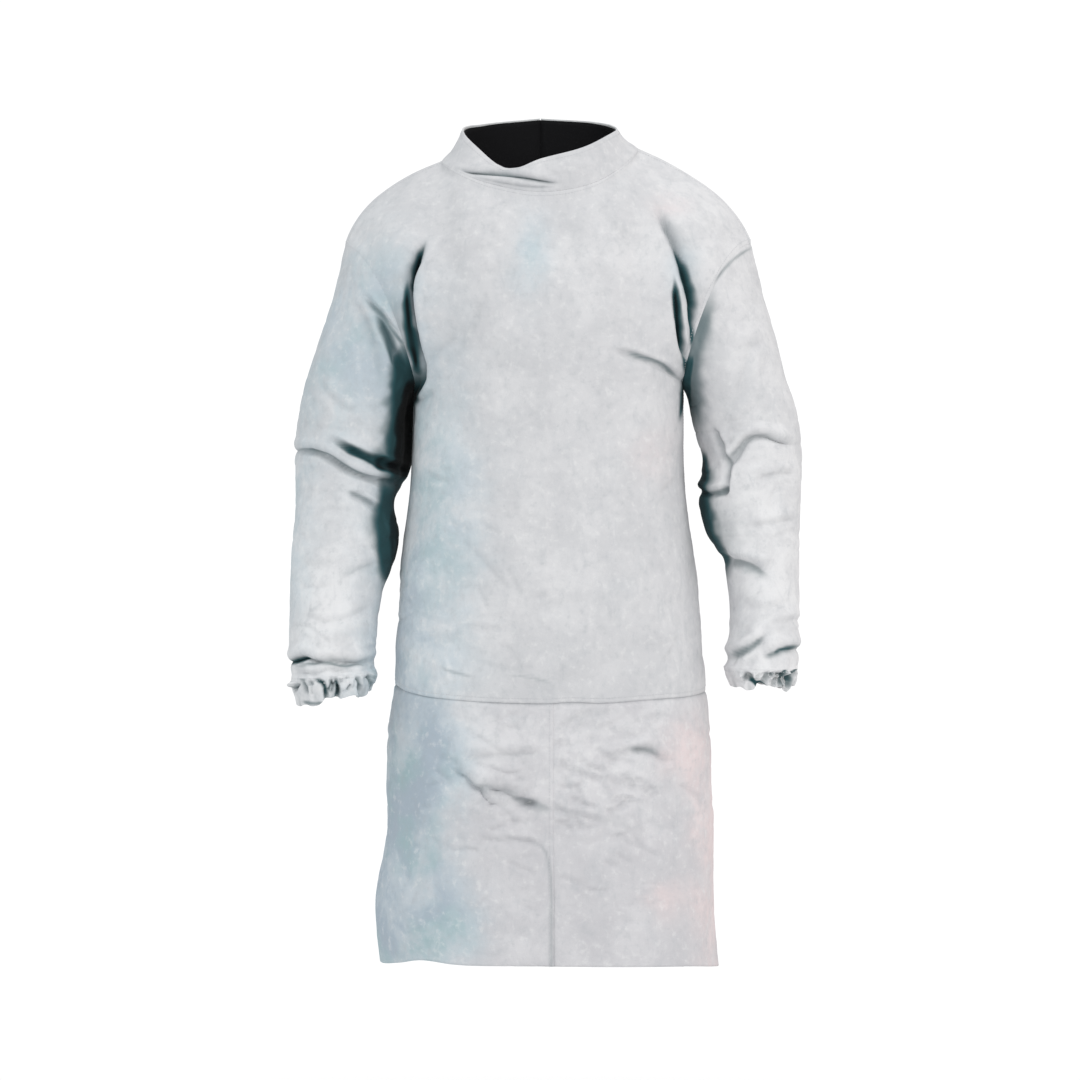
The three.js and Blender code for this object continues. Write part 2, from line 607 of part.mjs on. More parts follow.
function backStrap() {
  const { strap_across, strap_free, strap_held } = SPANS;
  const section = sectionAt(BODY, BACK_STRAP_LEVEL);
  const overlap = ((STRAP_OVERLAP / section.back) * 180) / Math.PI;
  const spans = 2 * strap_held + strap_free;
  const onPanel = (sign, share, level) => {
    const here = sectionAt(BODY, level);
    return ovalPoint(here, sign * (here.back_edge + 3 - overlap * share), level);
  };
  const pointAt = (u, v) => {
    const span = Math.round(u * spans);
    const level = BACK_STRAP_LEVEL + (v - 0.5) * BACK_STRAP_HEIGHT;
    if (span <= strap_held) return onPanel(1, 1 - span / strap_held, level);
    if (span >= strap_held + strap_free) return onPanel(-1, 1 - (spans - span) / strap_held, level);
    return onPanel(1, 0, level).lerp(onPanel(-1, 0, level), (span - strap_held) / strap_free);
  };
  return wall(offset(makeGrid(spans, strap_across, pointAt), LEATHER + LAP_GAP), LEATHER);
}

// Assembly
const apron = new THREE.Group();

function add(name, geometry, look = LEATHER_LOOK) {
  const mesh = new THREE.Mesh(geometry, new THREE.MeshStandardMaterial(look));
  mesh.name = name;
  apron.add(mesh);
}

add("front_panel", frontPanel());
for (const side of ["left", "right"]) {
  add(`back_panel_${side}`, backPanel(side));
  add(`skirt_${side}`, skirtHalf(side));
  add(`sleeve_${side}`, sleeve(side));
  add(`cuff_${side}`, cuff(side));
}
add("collar", collar());
add("collar_lining", collarLining(), LINING_LOOK);
add("nape_strap", napeStrap());
add("back_strap", backStrap());

export default apron;
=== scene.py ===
import math

import bpy
import numpy as np
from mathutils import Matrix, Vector


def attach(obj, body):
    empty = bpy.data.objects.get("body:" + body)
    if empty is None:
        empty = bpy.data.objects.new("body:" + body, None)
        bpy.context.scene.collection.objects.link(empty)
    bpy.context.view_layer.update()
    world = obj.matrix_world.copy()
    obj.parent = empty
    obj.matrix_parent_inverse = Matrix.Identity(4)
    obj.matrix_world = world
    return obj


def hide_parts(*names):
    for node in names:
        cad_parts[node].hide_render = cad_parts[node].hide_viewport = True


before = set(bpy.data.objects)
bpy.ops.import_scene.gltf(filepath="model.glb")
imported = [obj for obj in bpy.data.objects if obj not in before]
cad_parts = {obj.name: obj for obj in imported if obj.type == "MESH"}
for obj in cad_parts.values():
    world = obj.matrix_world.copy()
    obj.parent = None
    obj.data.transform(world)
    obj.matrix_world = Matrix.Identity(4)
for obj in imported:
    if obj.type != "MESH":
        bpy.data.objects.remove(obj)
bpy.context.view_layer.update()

# Sizes in millimetres. Bearings are in degrees from straight ahead, negative on the left side as seen
# from the front.
LEATHER = 1.8
LINING = 1.0
LAP_GAP = 0.85     # between layers that lie on each other
SEAM_GAP = 0.1     # between edges that are sewn together
SKIVE = 0.5        # how much further the inside is drawn in at a sewn edge
FOLD_HOLD = 8      # how far from a sewn edge folds reach their depth
CRUMPLE_HOLD = 14  # and crumples
PARED = 1.0        # thickness of the front panel's lower edge, which laps over the skirt
PARED_WIDTH = 14
WAIST_LAP = 20
WAIST_FRONT = -626
WAIST_SIDE = {"left": -610, "right": -618}
WAIST_EDGE_SINK = 0.9
SKIRT_LAP = 12
SKIRT_SEAM_X = -2.5
ARMPIT = -262
FULLNESS = {"front": -17, "back": 14}          # how far the chest and the back stand out, on y
SHOULDER_SHARE = {"front": 0.5, "back": 0.6}   # share of the top edge that the shoulder seam takes
SHOULDER_RISE = 26
SHOULDER_ROUND = 9
SQUARENESS = 2.3
NECK_MIDDLE = (-10, 0)
NECK_SIDE = {"left": -90, "right": 90}
NECK_FILLET = 3
COLLAR_END = 178   # bearing of the collar's ends
LINING_DROP = 18
LINING_MEETS = -9
NAPE_STRAP_HEIGHT = 26
BACK_STRAP_HEIGHT = 34
BACK_STRAP_LEVEL = -430
STRAP_OVERLAP = 34
STITCH = {"Pitch": 3.6, "Stitch Length": 2.6, "Thread Thickness": 0.6}
SIGN = {"left": -1, "right": 1}
MM = 0.001
INSIDE_STEP = 3    # the inside has one face for so many of the outside's, both ways
# Marks painted into the leather's colour: painted shade, bluish and pinkish tints that are partly painted
# light, and lightened places
MARKS = ("grime", "bluish", "pinkish", "bleached")

# Where the front is looked at from: straight ahead, this far away and at this level
EYE_DISTANCE = 4000
EYE_LEVEL = -372
PICTURE_PIXELS = 1080   # width and height of the picture
MM_PER_PIXEL = 1.18     # on the plane of the neck
MIDDLE_COLUMN = 548     # pixel column of x = 0
EYE_ROW = 480           # pixel row of the eye's level
SENSOR = 36             # width of the camera's sensor


def table(names, rows):
    return dict(zip(names.split(), np.array(rows, float).T))


BODY = table("level left right front back side_seam back_edge", [
    (-640, 183, 188, 141, 130, 103, 119),
    (-540, 177, 181, 138, 125, 101, 123),
    (-460, 173, 171, 134, 120, 99, 128),
    (-370, 163, 161, 130, 115, 96, 138),
    (-262, 158, 159, 126, 111, 90, 152),
])

SKIRT = table("level left right front back wrap", [
    (-650, 186, 189, 142, 130, 118),
    (-695, 188.5, 191.5, 145, 131, 115),
    (-740, 190, 193, 146, 132, 112),
    (-775, 188.5, 194, 146, 133, 110),
    (-808, 191.5, 194.5, 147, 134, 108),
    (-865, 202, 196, 148, 136, 105),
    (-905, 201, 197.5, 149, 138, 103),
    (-945, 197, 202, 150, 140, 102),
])

HEM = table("bearing level", [
    (-102, -941), (-75, -936), (-60, -931), (-45, -924), (-28, -926), (0, -925.5), (45, -931), (75, -940),
    (102, -950),
])

SLEEVE_COLUMNS = "outer_x outer_z inner_x inner_z middle front back bow tuck"
SLEEVES = {
    "left": table(SLEEVE_COLUMNS, [
        (-239, -96, -158, -262, 0, 71, 73, 19, 0),
        (-252, -150, -164, -276, 4, 72, 71, 13, 20),
        (-269, -203, -167, -291, 7, 71, 70, 6, 26),
        (-285.5, -256, -168, -312, 8, 69, 69, 2, 27),
        (-295, -302, -169, -338, 8, 68, 67, 0, 26),
        (-298, -345, -172, -368, 7, 67, 66, 0, 22),
        (-298, -394, -180, -402, 3, 65, 64, 0, 10),
        (-300, -438, -175.5, -440, -3, 63, 62, 0, 8),
        (-301, -478, -186, -477, -11, 60, 59, 0, 0),
        (-301, -512, -197, -509, -20, 57, 56, 0, 0),
        (-301.5, -552, -201, -548, -31, 53.5, 52.5, 0, 0),
        (-300, -603, -200.5, -594, -44, 50, 49, 0, 0),
    ]),
    "right": table(SLEEVE_COLUMNS, [
        (239, -94, 159, -262, 0, 71, 73, 20, 0),
        (252, -143, 164, -275, 4, 72, 71, 14, 0),
        (265, -190, 167, -288, 7, 71, 70, 6, 0),
        (278, -243, 171, -305, 8, 69, 69, 2, 0),
        (291.5, -290, 176, -323, 8, 68, 67, 0, 0),
        (296.5, -338, 182, -350, 7, 67, 66, 0, 0),
        (296, -385, 176.5, -392, 4, 65, 64, 0, 0),
        (295, -432, 184, -434, -3, 62, 61, 0, 0),
        (294, -470, 203, -470, -11, 56, 55, 0, 0),
        (294.5, -520, 211, -520, -24, 50, 49, 0, 0),
        (291.5, -592, 205, -590, -42, 47, 46, 0, 0),
    ]),
}
for sleeve_table in SLEEVES.values():
    sleeve_table["along"] = np.linspace(0, 1, len(sleeve_table["bow"]))

CUFF_COLUMNS = "along outer_drop inner_drop girth gather"
CUFFS = {
    "left": table(CUFF_COLUMNS, [
        (0, 0, 0, 1, 0.4), (0.25, 8, 6, 1.04, 1.2), (0.5, 16, 12, 1.02, 2.6), (0.75, 23, 17, 0.97, 5),
        (1, 32, 24, 0.93, 6),
    ]),
    "right": table(CUFF_COLUMNS, [
        (0, 0, 0, 1, 0.4), (0.25, 6, 6, 1.02, 1.2), (0.5, 12, 12, 1.0, 2.6), (0.75, 17, 17, 0.97, 4.6),
        (1, 22, 22, 0.93, 6),
    ]),
}

COLLAR = table("bearing base_x base_y base_z rim_x rim_y rim_z roll", [
    (-178, -10.5, 70, 14, -10.5, 75, 61, 2),
    (-135, -92, 46, 9, -76, 47, 52, 1),
    (-90, -123, 2, 2, -101, 2, 41, -2),
    (-60, -104, -42, -14, -84, -38, 17, 2),
    (-32, -66, -66, -31, -48, -64, -11, 7),
    (0, -8, -74, -41, -6, -74, 0, 6),
    (32, 48, -65, -31, 40, -65, 13, 4),
    (60, 85, -40, -8, 70, -38, 30, 1),
    (90, 103, 2, 17, 81, 2, 42, -2),
    (135, 75, 46, 15, 58, 47, 54, 1),
    (178, -7.5, 70, 14, -7.5, 75, 61, 2),
])

# Folds, as lines seen from the front: depth, width, how far the leather on the upper or right side bulges
# and how far it laps over, then the places (x, z) that the line passes.
FOLDS = {
    "front_panel": [
        (26, 5.5, 3, 0, [(-142, -82), (-152, -105), (-162, -131), (-164, -155), (-159, -195), (-152, -233),
                         (-151, -245), (-159, -282)]),
        (4, 7, 2, 0, [(-106, -203), (-129, -220), (-146, -240)]),
        (4, 5, 2, 1, [(-160, -279), (-137, -265)]),
        (12, 5, 3, 0, [(123, -42), (135, -65), (150, -98), (160, -129),
                        (169, -160), (171, -183), (170, -213)]),
        (11, 3.6, 3, 0, [(149, -136), (151, -164), (156, -195), (163, -233)]),
        (8, 6, 3, 2, [(198, -136), (186, -181), (173, -214), (163, -242)]),
        (6, 4.2, 2, 1, [(72, -217), (96, -222), (116, -228), (132, -235), (146, -243), (163, -259)]),
        (3, 14, 1, 0, [(-21, -58), (-40, -101), (-63, -150)]),
        (2.5, 12, 1, 0, [(20, -58), (27, -89), (37, -134)]),
        (3, 14, 1, 0, [(54, -49), (85, -77), (118, -112)]),
        (-1.6, 4.4, 0, 0, [(-2, -245), (-5, -372), (-4, -490), (-1, -594)]),
        (2, 6, 1, 0, [(-54, -471), (-30, -510)]),
        (2, 7, 1, 0, [(-94, -450), (-68, -478), (-41, -508)]),
        (-1.6, 4, 0, 0, [(-125, -578), (-120, -593), (-119, -612)]),
        (-2, 4.4, 0, 0, [(-62, -590), (-42, -604), (-14, -609), (5, -618), (9, -632)]),
    ],
    "sleeve_left": [
        (9, 5, 3.5, 4, [(-316, -338), (-296, -335), (-278, -335), (-257, -344), (-231, -359), (-204, -368),
                        (-158, -377)]),
        (8, 4, 3, 1, [(-260, -320), (-240, -330), (-227, -337), (-208, -344), (-160, -360)]),
        (6, 4.6, 3, 1, [(-238, -385), (-222, -391), (-206, -400), (-196, -410)]),
        (2.5, 7, 1.5, 0, [(-240, -488), (-222, -476), (-198, -468)]),
        (10, 5, 4, 3, [(-318, -591), (-299, -582), (-288, -578), (-271, -583), (-255, -582), (-234, -584),
                        (-192, -582)]),
        (5, 4, 3, 2, [(-307, -601), (-293, -597), (-275, -599), (-262, -593), (-240, -597), (-224, -599),
                      (-192, -587)]),
        (5, 3.5, 3, 1, [(-219, -150), (-201, -169), (-182, -190), (-160, -212)]),
        (8, 5, 3.5, 1, [(-203, -176), (-189, -202), (-179, -221), (-165, -245)]),
        (3, 6, 1.5, 0, [(-231, -160), (-215, -190), (-208, -221)]),
        (2.5, 7, 1, 0, [(-271, -254), (-257, -275), (-231, -296)]),
        (2, 8, 1, 0, [(-286, -419), (-257, -410), (-227, -419)]),
        (2.5, 6, 1.5, 0, [(-293, -528), (-263, -540), (-231, -532), (-203, -518)]),
    ],
    "sleeve_right": [
        (2.5, 8, 1.5, 0, [(267, -197), (253, -209), (237, -221), (231, -262), (218, -284), (203, -302)]),
        (7, 4.5, 3, 0, [(194, -311), (201, -327), (212, -355)]),
        (9, 5, 4.5, 2, [(203, -363), (217, -344), (234, -322), (256, -318), (276, -325), (295, -332)]),
        (6, 4.5, 3, 0, [(212, -346), (210, -367), (205, -391)]),
        (8, 5, 4, 2, [(168, -380), (191, -386), (214, -378)]),
        (3.5, 6, 1.5, 0, [(241, -374), (262, -368), (294, -363)]),
        (3.5, 6, 1.5, 0, [(236, -427), (262, -424), (296, -418)]),
        (6, 7, 4, 2, [(196, -457), (214, -466), (229, -468), (245, -472), (262, -483)]),
        (6, 6, 4, 1, [(203, -584), (217, -576), (230, -570), (260, -554)]),
        (5, 6, 3.5, 1, [(251, -578), (264, -575), (278, -569), (302, -570)]),
        (4, 4, 2, 1, [(219, -595), (234, -587), (247, -577)]),
        (2, 7, 1, 0, [(221, -514), (250, -523), (293, -514)]),
    ],
    "skirt": [
        (3, 7, 2, 0, [(-113, -705), (-80, -699), (-33, -696), (9, -693)]),
        (5, 7, 4, 1, [(-116, -712), (-98, -720), (-84, -731), (-74, -734)]),
        (3.5, 7.5, 3.5, 1, [(-92, -728), (-66, -734), (-48, -738), (-30, -740)]),
        (6, 7, 4.5, 1, [(-58, -739), (-33, -746), (-14, -754), (6, -759), (22, -766)]),
        (4, 6, 3, 0, [(-101, -724), (-90, -733), (-73, -750), (-57, -759)]),
        (3.5, 6, 2.5, 0, [(-45, -757), (-26, -753), (5, -757)]),
        (2.5, 6, 2, 0, [(-66, -752), (-46, -768), (-40, -784)]),
        (4, 6, 3, 0, [(62, -701), (94, -694), (116, -688), (130, -694)]),
        (4.5, 6, 3, 1, [(100, -687), (120, -690), (134, -698), (148, -706)]),
        (3, 5, 1.5, 0, [(66, -728), (91, -732), (114, -738), (132, -752)]),
        (3, 5, 1.5, 0, [(0, -753), (21, -764), (45, -771), (71, -780)]),
        (3.5, 4, 2, 0, [(-59, -792), (-39, -797), (-17, -800), (-4, -807), (0, -820)]),
        (2, 7, 1, 0, [(14, -673), (50, -665), (97, -672)]),
        (1.5, 3, 1, 0, [(-4, -676), (9, -686), (14, -700)]),
    ],
    "cuff_left": [
        (5, 3.4, 2.5, 0, [(-298, -598), (-289, -611), (-284, -628)]),
        (6, 3.2, 2.5, 0, [(-280, -604), (-266, -612), (-260, -638)]),
        (6, 3.2, 2.5, 0, [(-254, -598), (-249, -616), (-252, -640)]),
        (5, 3, 2, 0, [(-228, -598), (-223, -611), (-221, -626)]),
        (5, 3, 2, 0, [(-215, -595), (-209, -608), (-208, -624)]),
    ],
    "cuff_right": [
        (3.4, 4, 2, 0, [(228, -598), (244, -611), (268, -621)]),
        (4, 3.4, 2, 0, [(262, -590), (258, -604), (248, -618)]),
        (6, 3.2, 2.5, 0, [(284, -578), (279, -598), (273, -622)]),
        (6, 3.2, 2.5, 0, [(297, -580), (290, -602), (284, -624)]),
    ],
    "collar": [
        (6, 3.6, 2, 2, [(-118, -9), (-92, -10), (-57, -9), (-33, -13), (-9, -18), (21, -25)]),
        (2, 4, 1, 0, [(-92, -19), (-57, -25), (-21, -30), (14, -29)]),
    ],
}

# Painted shade, as lines seen from the front: strength, how far the shade fades out to the left and to the
# right of a line that runs down (below and above one that runs to the right), then the places.
WIDE = 999
# narrowest fade of a line of painted shade
FINEST_SHADE = 2.4
PAINTED_SHADE_LINES = {
    "front_panel": [
        (0.98, 6, 5, [(-140, -84), (-154, -108), (-162, -131), (-164, -150), (-161, -180)]),
        (0.97, 5, 4, [(-166, -118), (-170, -150), (-169, -171), (-165, -201), (-159, -233), (-154, -275)]),
        (0.42, 20, 3, [(-136, -76), (-162, -140), (-160, -195), (-153, -255)]),
        (0.97, WIDE, 4, [(-148, -225), (-157, -266), (-162, -295), (-165, -331), (-169, -372), (-172, -410)]),
        (0.92, 2.6, 7, [(144, -82), (152, -106), (160, -130), (168, -157), (172, -196)]),
        (0.24, 4, 24, [(122, -45), (150, -98), (166, -140), (173, -185)]),
        (0.85, 3, 3, [(161, -133), (170, -168), (171, -190), (168, -230)]),
        (0.97, 2.6, 4.5, [(148, -122), (152, -164), (156, -193), (164, -244)]),
        (0.4, 2.4, 9, [(199, -128), (183, -186), (172, -216), (167, -245), (170, -275), (176, -320)]),
        (0.95, 3.5, 3.5, [(158, -212), (162, -240), (160, -260), (153, -312)]),
        (0.5, 2.4, 2.4, [(84, -219), (111, -227), (137, -237), (165, -262)]),
        (0.4, 2.4, 2.4, [(250, -92), (221, -110), (203, -129), (190, -150)]),
        (0.14, 7, 5, [(-120, -578), (-60, -590), (0, -612), (40, -632)]),
        (0.3, 2.4, 2.4, [(-132, -590), (-118, -597), (-96, -603), (-84, -606)]),
        (0.26, 2.4, 2.4, [(-56, -602), (-36, -603), (-20, -606), (2, -612), (10, -626)]),
        (0.12, 8, 8, [(-70, -140), (-92, -200), (-118, -240)]),
    ],
    "sleeve_left": [
        (0.5, 5, 3, [(-226, -150), (-198, -176), (-182, -197), (-156, -230)]),
        (0.62, 6, 10, [(-209, -164), (-192, -198), (-184, -222), (-176, -265)]),
        (0.2, 9, 14, [(-238, -158), (-216, -192), (-202, -232), (-196, -270)]),
        (0.84, 15, WIDE, [(-162, -180), (-174, -233), (-177, -266), (-176, -301), (-180, -325), (-186, -372),
                          (-190, -410)]),
        (1.0, 15, WIDE, [(-152, -210), (-163, -259), (-170, -289), (-174, -325), (-180, -372), (-184, -410)]),
        (0.85, 4, 7, [(-266, -320), (-226, -340), (-198, -353), (-130, -377)]),
        (0.95, 5, 24, [(-228, -340), (-190, -358), (-165, -368), (-110, -386)]),
        (0.82, 11, WIDE, [(-183, -335), (-188, -381), (-192, -398), (-197, -417), (-198, -445), (-195, -471),
                          (-184, -497), (-172, -540)]),
        (0.92, 15, WIDE, [(-172, -372), (-180, -400), (-184, -430), (-183, -462), (-180, -500),
                          (-170, -530)]),
        (0.95, 5, 5, [(-320, -594), (-305, -587), (-276, -577)]),
        (0.5, 3, 2.4, [(-322, -339), (-288, -335), (-262, -340), (-231, -358), (-180, -376)]),
        (0.4, 4, 3, [(-244, -383), (-222, -391), (-206, -400), (-190, -414)]),
        (0.2, 9, 8, [(-256, -489), (-226, -478), (-192, -467)]),
        (0.16, 9, 8, [(-300, -462), (-270, -470), (-244, -466)]),
        (0.5, 3, 3, [(-312, -592), (-285, -590), (-262, -586), (-238, -590), (-200, -586)]),
        (0.14, 12, 12, [(-304, -360), (-306, -420), (-308, -500), (-312, -560)]),
    ],
    "sleeve_right": [
        (0.56, WIDE, 15, [(199, -128), (184, -186), (174, -219), (169, -245), (171, -275),
                          (176, -305), (178, -345)]),
        (0.8, WIDE, 5, [(176, -205), (168, -235), (164, -262), (166, -290), (168, -320)]),
        (0.9, WIDE, 8, [(178, -330), (182, -346), (184, -370), (176, -405)]),
        (0.86, WIDE, 16, [(176, -352), (180, -392), (184, -415), (190, -443), (199, -466), (214, -505)]),
        (0.34, WIDE, 34, [(172, -350), (178, -392), (186, -425), (194, -452), (210, -500)]),
        (0.5, 8, 2.6, [(164, -380), (190, -386), (203, -384), (218, -372)]),
        (0.75, 5, 4, [(262, -576), (281, -570), (300, -567)]),
        (0.42, 10, 3, [(196, -474), (220, -468), (241, -473), (268, -490)]),
        (0.5, 6, 4, [(202, -583), (225, -574), (241, -566), (262, -551)]),
        (0.5, 6, 4, [(250, -582), (276, -573), (302, -566)]),
        (0.4, 3, 3, [(190, -300), (205, -332), (212, -351), (208, -392)]),
        (0.32, 3, 3, [(206, -360), (224, -334), (250, -318), (280, -322)]),
        (0.4, 2.4, 2.4, [(250, -92), (221, -110), (203, -129), (190, -150)]),
    ],
    "skirt": [
        (0.29, 3.5, 3, [(-74, -791), (-33, -798), (-12, -803), (-2, -813), (3, -844), (4, -990), (4, -1080)]),
        (0.28, 8, 4, [(-118, -712), (-96, -722), (-82, -732), (-66, -752)]),
        (0.24, 13, 5, [(-100, -726), (-62, -734), (-24, -744)]),
        (0.32, 9, 4, [(-56, -740), (-21, -752), (14, -765)]),
        (0.36, 6, 5, [(90, -691), (118, -690), (140, -702)]),
        (0.16, 9, 5, [(-118, -706), (-70, -698), (12, -694)]),
        (0.14, 8, 8, [(40, -764), (80, -776), (110, -792)]),
        (0.14, 10, 8, [(0, -668), (34, -652), (90, -640)]),
    ],
    "cuff_left": [
        (0.62, 4, 3, [(-308, -594), (-282, -597), (-262, -591), (-238, -596), (-200, -588)]),
        (0.4, 4, 4, [(-296, -600), (-288, -611), (-284, -624)]),
        (0.75, 3, 3, [(-280, -606), (-266, -612), (-260, -634)]),
        (0.7, 3, 3, [(-254, -602), (-249, -616), (-252, -636)]),
        (0.55, 3, 3, [(-228, -602), (-223, -611), (-221, -622)]),
        (0.5, 3, 3, [(-215, -599), (-209, -608), (-208, -620)]),
        (0.5, 3, 3, [(-294, -632), (-278, -636), (-262, -634)]),
    ],
    "cuff_right": [
        (0.85, 3, 3, [(230, -602), (244, -612), (266, -619)]),
        (0.65, 3, 3, [(284, -580), (279, -598), (274, -618)]),
        (0.7, 3, 3, [(296, -584), (290, -602), (285, -620)]),
    ],
}

# Patches that are bluish or pinkish, as seen from the front: partly the hides' own tone and partly painted
# light, cool on the left side and warm on the right. Strength, middle (x, z) and reach (x, z)
BLUISH = [
    (0.5, -146, -425, 78, 220), (0.38, -215, -165, 72, 105), (0.36, -302, -420, 30, 150),
    (0.95, -195, -800, 78, 170), (0.36, -20, -110, 30, 70), (0.4, -120, -905, 60, 45),
    (0.3, -130, -690, 40, 40), (0.3, 160, -120, 24, 40), (0.22, -262, -268, 48, 84),
]
PINKISH = [
    (1.0, 200, -800, 32, 180), (0.55, 150, -690, 40, 42), (0.6, 128, -868, 30, 34), (0.45, 140, -45, 40, 24),
    (0.35, 130, -340, 50, 60),
]

# Where small creases crowd: how many, the middle (x, z), how far they scatter in x and z, their lean and its
# scatter in degrees, and their depth, width and length
CREASED = {
    "front_panel": [
        (30, 0, -430, 120, 130, 80, 24, 0.8, 3.4, 26),
        (26, -20, -570, 120, 45, 8, 24, 0.9, 3.4, 26),
        (16, 60, -130, 80, 50, 60, 24, 0.8, 4, 26),
        (14, -70, -480, 50, 50, -45, 15, 1.2, 4.4, 30),
    ],
    "sleeve_left": [
        (26, -235, -330, 40, 60, 15, 24, 0.7, 3, 24),
        (20, -245, -450, 36, 50, 20, 30, 0.8, 4, 26),
        (26, -250, -570, 40, 22, 0, 20, 1.1, 3, 26),
    ],
    "sleeve_right": [
        (22, 240, -340, 36, 50, 20, 24, 0.7, 3, 24),
        (18, 245, -450, 32, 50, 5, 30, 0.8, 4, 26),
        (24, 250, -560, 34, 22, 14, 20, 1.1, 3, 26),
    ],
    "skirt": [
        (60, -35, -735, 70, 40, -10, 26, 1.5, 4, 26),
        (60, 66, -735, 62, 36, -12, 28, 1.4, 4, 26),
        (34, 0, -860, 130, 50, 10, 60, 0.8, 3.4, 24),
        (18, -45, -748, 36, 12, -20, 40, 1.3, 3.8, 20),
        (14, 0, -660, 120, 16, 12, 20, 1.2, 4, 26),
    ],
    "collar": [
        (12, -20, -8, 60, 14, 0, 24, 0.5, 3, 22),
    ],
    "cuff_left": [
        (22, -258, -616, 30, 7, 70, 40, 3.6, 2.6, 11),
        (12, -250, -606, 36, 6, 5, 30, 2, 3, 16),
    ],
    "cuff_right": [
        (20, 264, -606, 18, 6, 55, 35, 3.4, 3, 11),
        (10, 284, -592, 8, 10, 60, 30, 3, 2.8, 10),
        (8, 240, -600, 20, 5, 15, 25, 1.6, 3, 16),
    ],
}


# Curves and sheets of points
FOLD_ENDS = 0.22    # share of a fold's length over which it fades at each end
SHADE_ENDS = 0.28    # and of a line of painted shade
FULL_SHADE_DEPTH = 12   # a fold as deep as this gets the full painted shade at its bottom
LATTICE = np.random.default_rng(11).uniform(-1, 1, 8192)


def mix(a, b, t):
    return a + (b - a) * t


def ease(t):
    t = np.clip(t, 0.0, 1.0)
    return t * t * (3 - 2 * t)


def bell(distance, width):
    return np.exp(-(distance / width) ** 2)


def fade_ends(along, share):
    return ease(along / share) * ease((1 - along) / share)


def read(rows, key, place):
    """All columns of a table at places between its rows, on smooth curves through the rows."""
    order = np.argsort(rows[key])
    keys = rows[key][order]
    count = np.arange(len(keys))
    ahead, back = np.minimum(count + 1, count[-1]), np.maximum(count - 1, 0)
    place = np.clip(np.asarray(place, float), keys[0], keys[-1])
    i = np.clip(np.searchsorted(keys, place, side="right") - 1, 0, len(keys) - 2)
    span = keys[i + 1] - keys[i]
    t = (place - keys[i]) / span
    found = {}
    for name, column in rows.items():
        values = column[order]
        slope = (values[ahead] - values[back]) / (keys[ahead] - keys[back])
        start, end = values[i], values[i + 1]
        bend = (1 - t) * slope[i] * span - t * slope[i + 1] * span + (2 * t - 1) * (end - start)
        found[name] = mix(start, end, t) + t * (1 - t) * bend
    return found


def points(x, y, z):
    return np.stack(np.broadcast_arrays(x, y, z), axis=-1).astype(float)


def turns_round(count):
    """Places round a closed sheet, from 0 to 1, as a row."""
    return np.arange(count)[None, :] / count


def unit(vectors):
    return vectors / np.maximum(np.linalg.norm(vectors, axis=-1, keepdims=True), 1e-9)


def normals(sheet, closed=False):
    """Unit vectors out of a sheet. Its columns run anticlockwise seen from above and its rows run up."""
    if closed:
        across = np.roll(sheet, -1, axis=1) - np.roll(sheet, 1, axis=1)
    else:
        across = np.gradient(sheet, axis=1)
    return unit(np.cross(across, np.gradient(sheet, axis=0)))


def moved_out(sheet, distance, closed=False):
    """A sheet whose points are moved outwards, all by one distance or each by its own."""
    return sheet + np.asarray(distance)[..., None] * normals(sheet, closed)


def runs(sheet, axis):
    """Distances along a sheet from its first and from its last row (axis 0) or column (axis 1)."""
    steps = np.linalg.norm(np.diff(sheet, axis=axis), axis=-1)
    start = np.zeros_like(steps.take([0], axis))
    run = np.concatenate([start, np.cumsum(steps, axis=axis)], axis=axis)
    return run, run.take([-1], axis) - run


def relax(sheet, passes, share=0.5, closed=False):
    """Evens out a sheet by a share at each point. Its edges stay where they are."""
    sheet = sheet.copy()
    share = np.broadcast_to(share, sheet.shape[:2])[..., None]
    for _ in range(passes):
        if closed:
            beside = np.roll(sheet, 1, axis=1) + np.roll(sheet, -1, axis=1)
            mean = (beside[1:-1] + sheet[:-2] + sheet[2:]) / 4
            sheet[1:-1] += share[1:-1] * (mean - sheet[1:-1])
        else:
            mean = (sheet[1:-1, :-2] + sheet[1:-1, 2:] + sheet[:-2, 1:-1] + sheet[2:, 1:-1]) / 4
            sheet[1:-1, 1:-1] += share[1:-1, 1:-1] * (mean - sheet[1:-1, 1:-1])
    return sheet


def lumps(place, size, seed):
    """Smooth unevenness from -1 to 1, with lumps about as large as size, in millimetres on x, y and z."""
    scaled = place / np.asarray(size, float) + 500.37 + 17.3 * seed
    cell = np.floor(scaled).astype(np.int64)
    t = scaled - cell
    t = t * t * t * (t * (6 * t - 15) + 10)
    total = 0.0
    for i, j, k in np.ndindex(2, 2, 2):
        corner = (cell[..., 0] + i) * 73856093 ^ (cell[..., 1] + j) * 19349663 ^ (cell[..., 2] + k) * 83492791
        value = LATTICE[(corner + seed * 7919) % len(LATTICE)]
        share_x, share_y, share_z = (t[..., c] if step else 1 - t[..., c] for c, step in enumerate((i, j, k)))
        total = total + value * (share_x * share_y) * share_z
    return total


def seen(sheet):
    """Where points are seen from the front, in millimetres on the plane of the neck."""
    nearer = EYE_DISTANCE / (EYE_DISTANCE + sheet[..., 1])
    return sheet[..., 0] * nearer, EYE_LEVEL + (sheet[..., 2] - EYE_LEVEL) * nearer


def smooth_line(places):
    """More places on a smooth curve through the places given."""
    places = np.array(places, float)
    along = np.concatenate([[0], np.cumsum(np.hypot(*np.diff(places, axis=0).T))])
    curve = {"along": along, "x": places[:, 0], "z": places[:, 1]}
    found = read(curve, "along", np.linspace(0, along[-1], 6 * len(places)))
    return np.stack([found["x"], found["z"]], axis=-1)


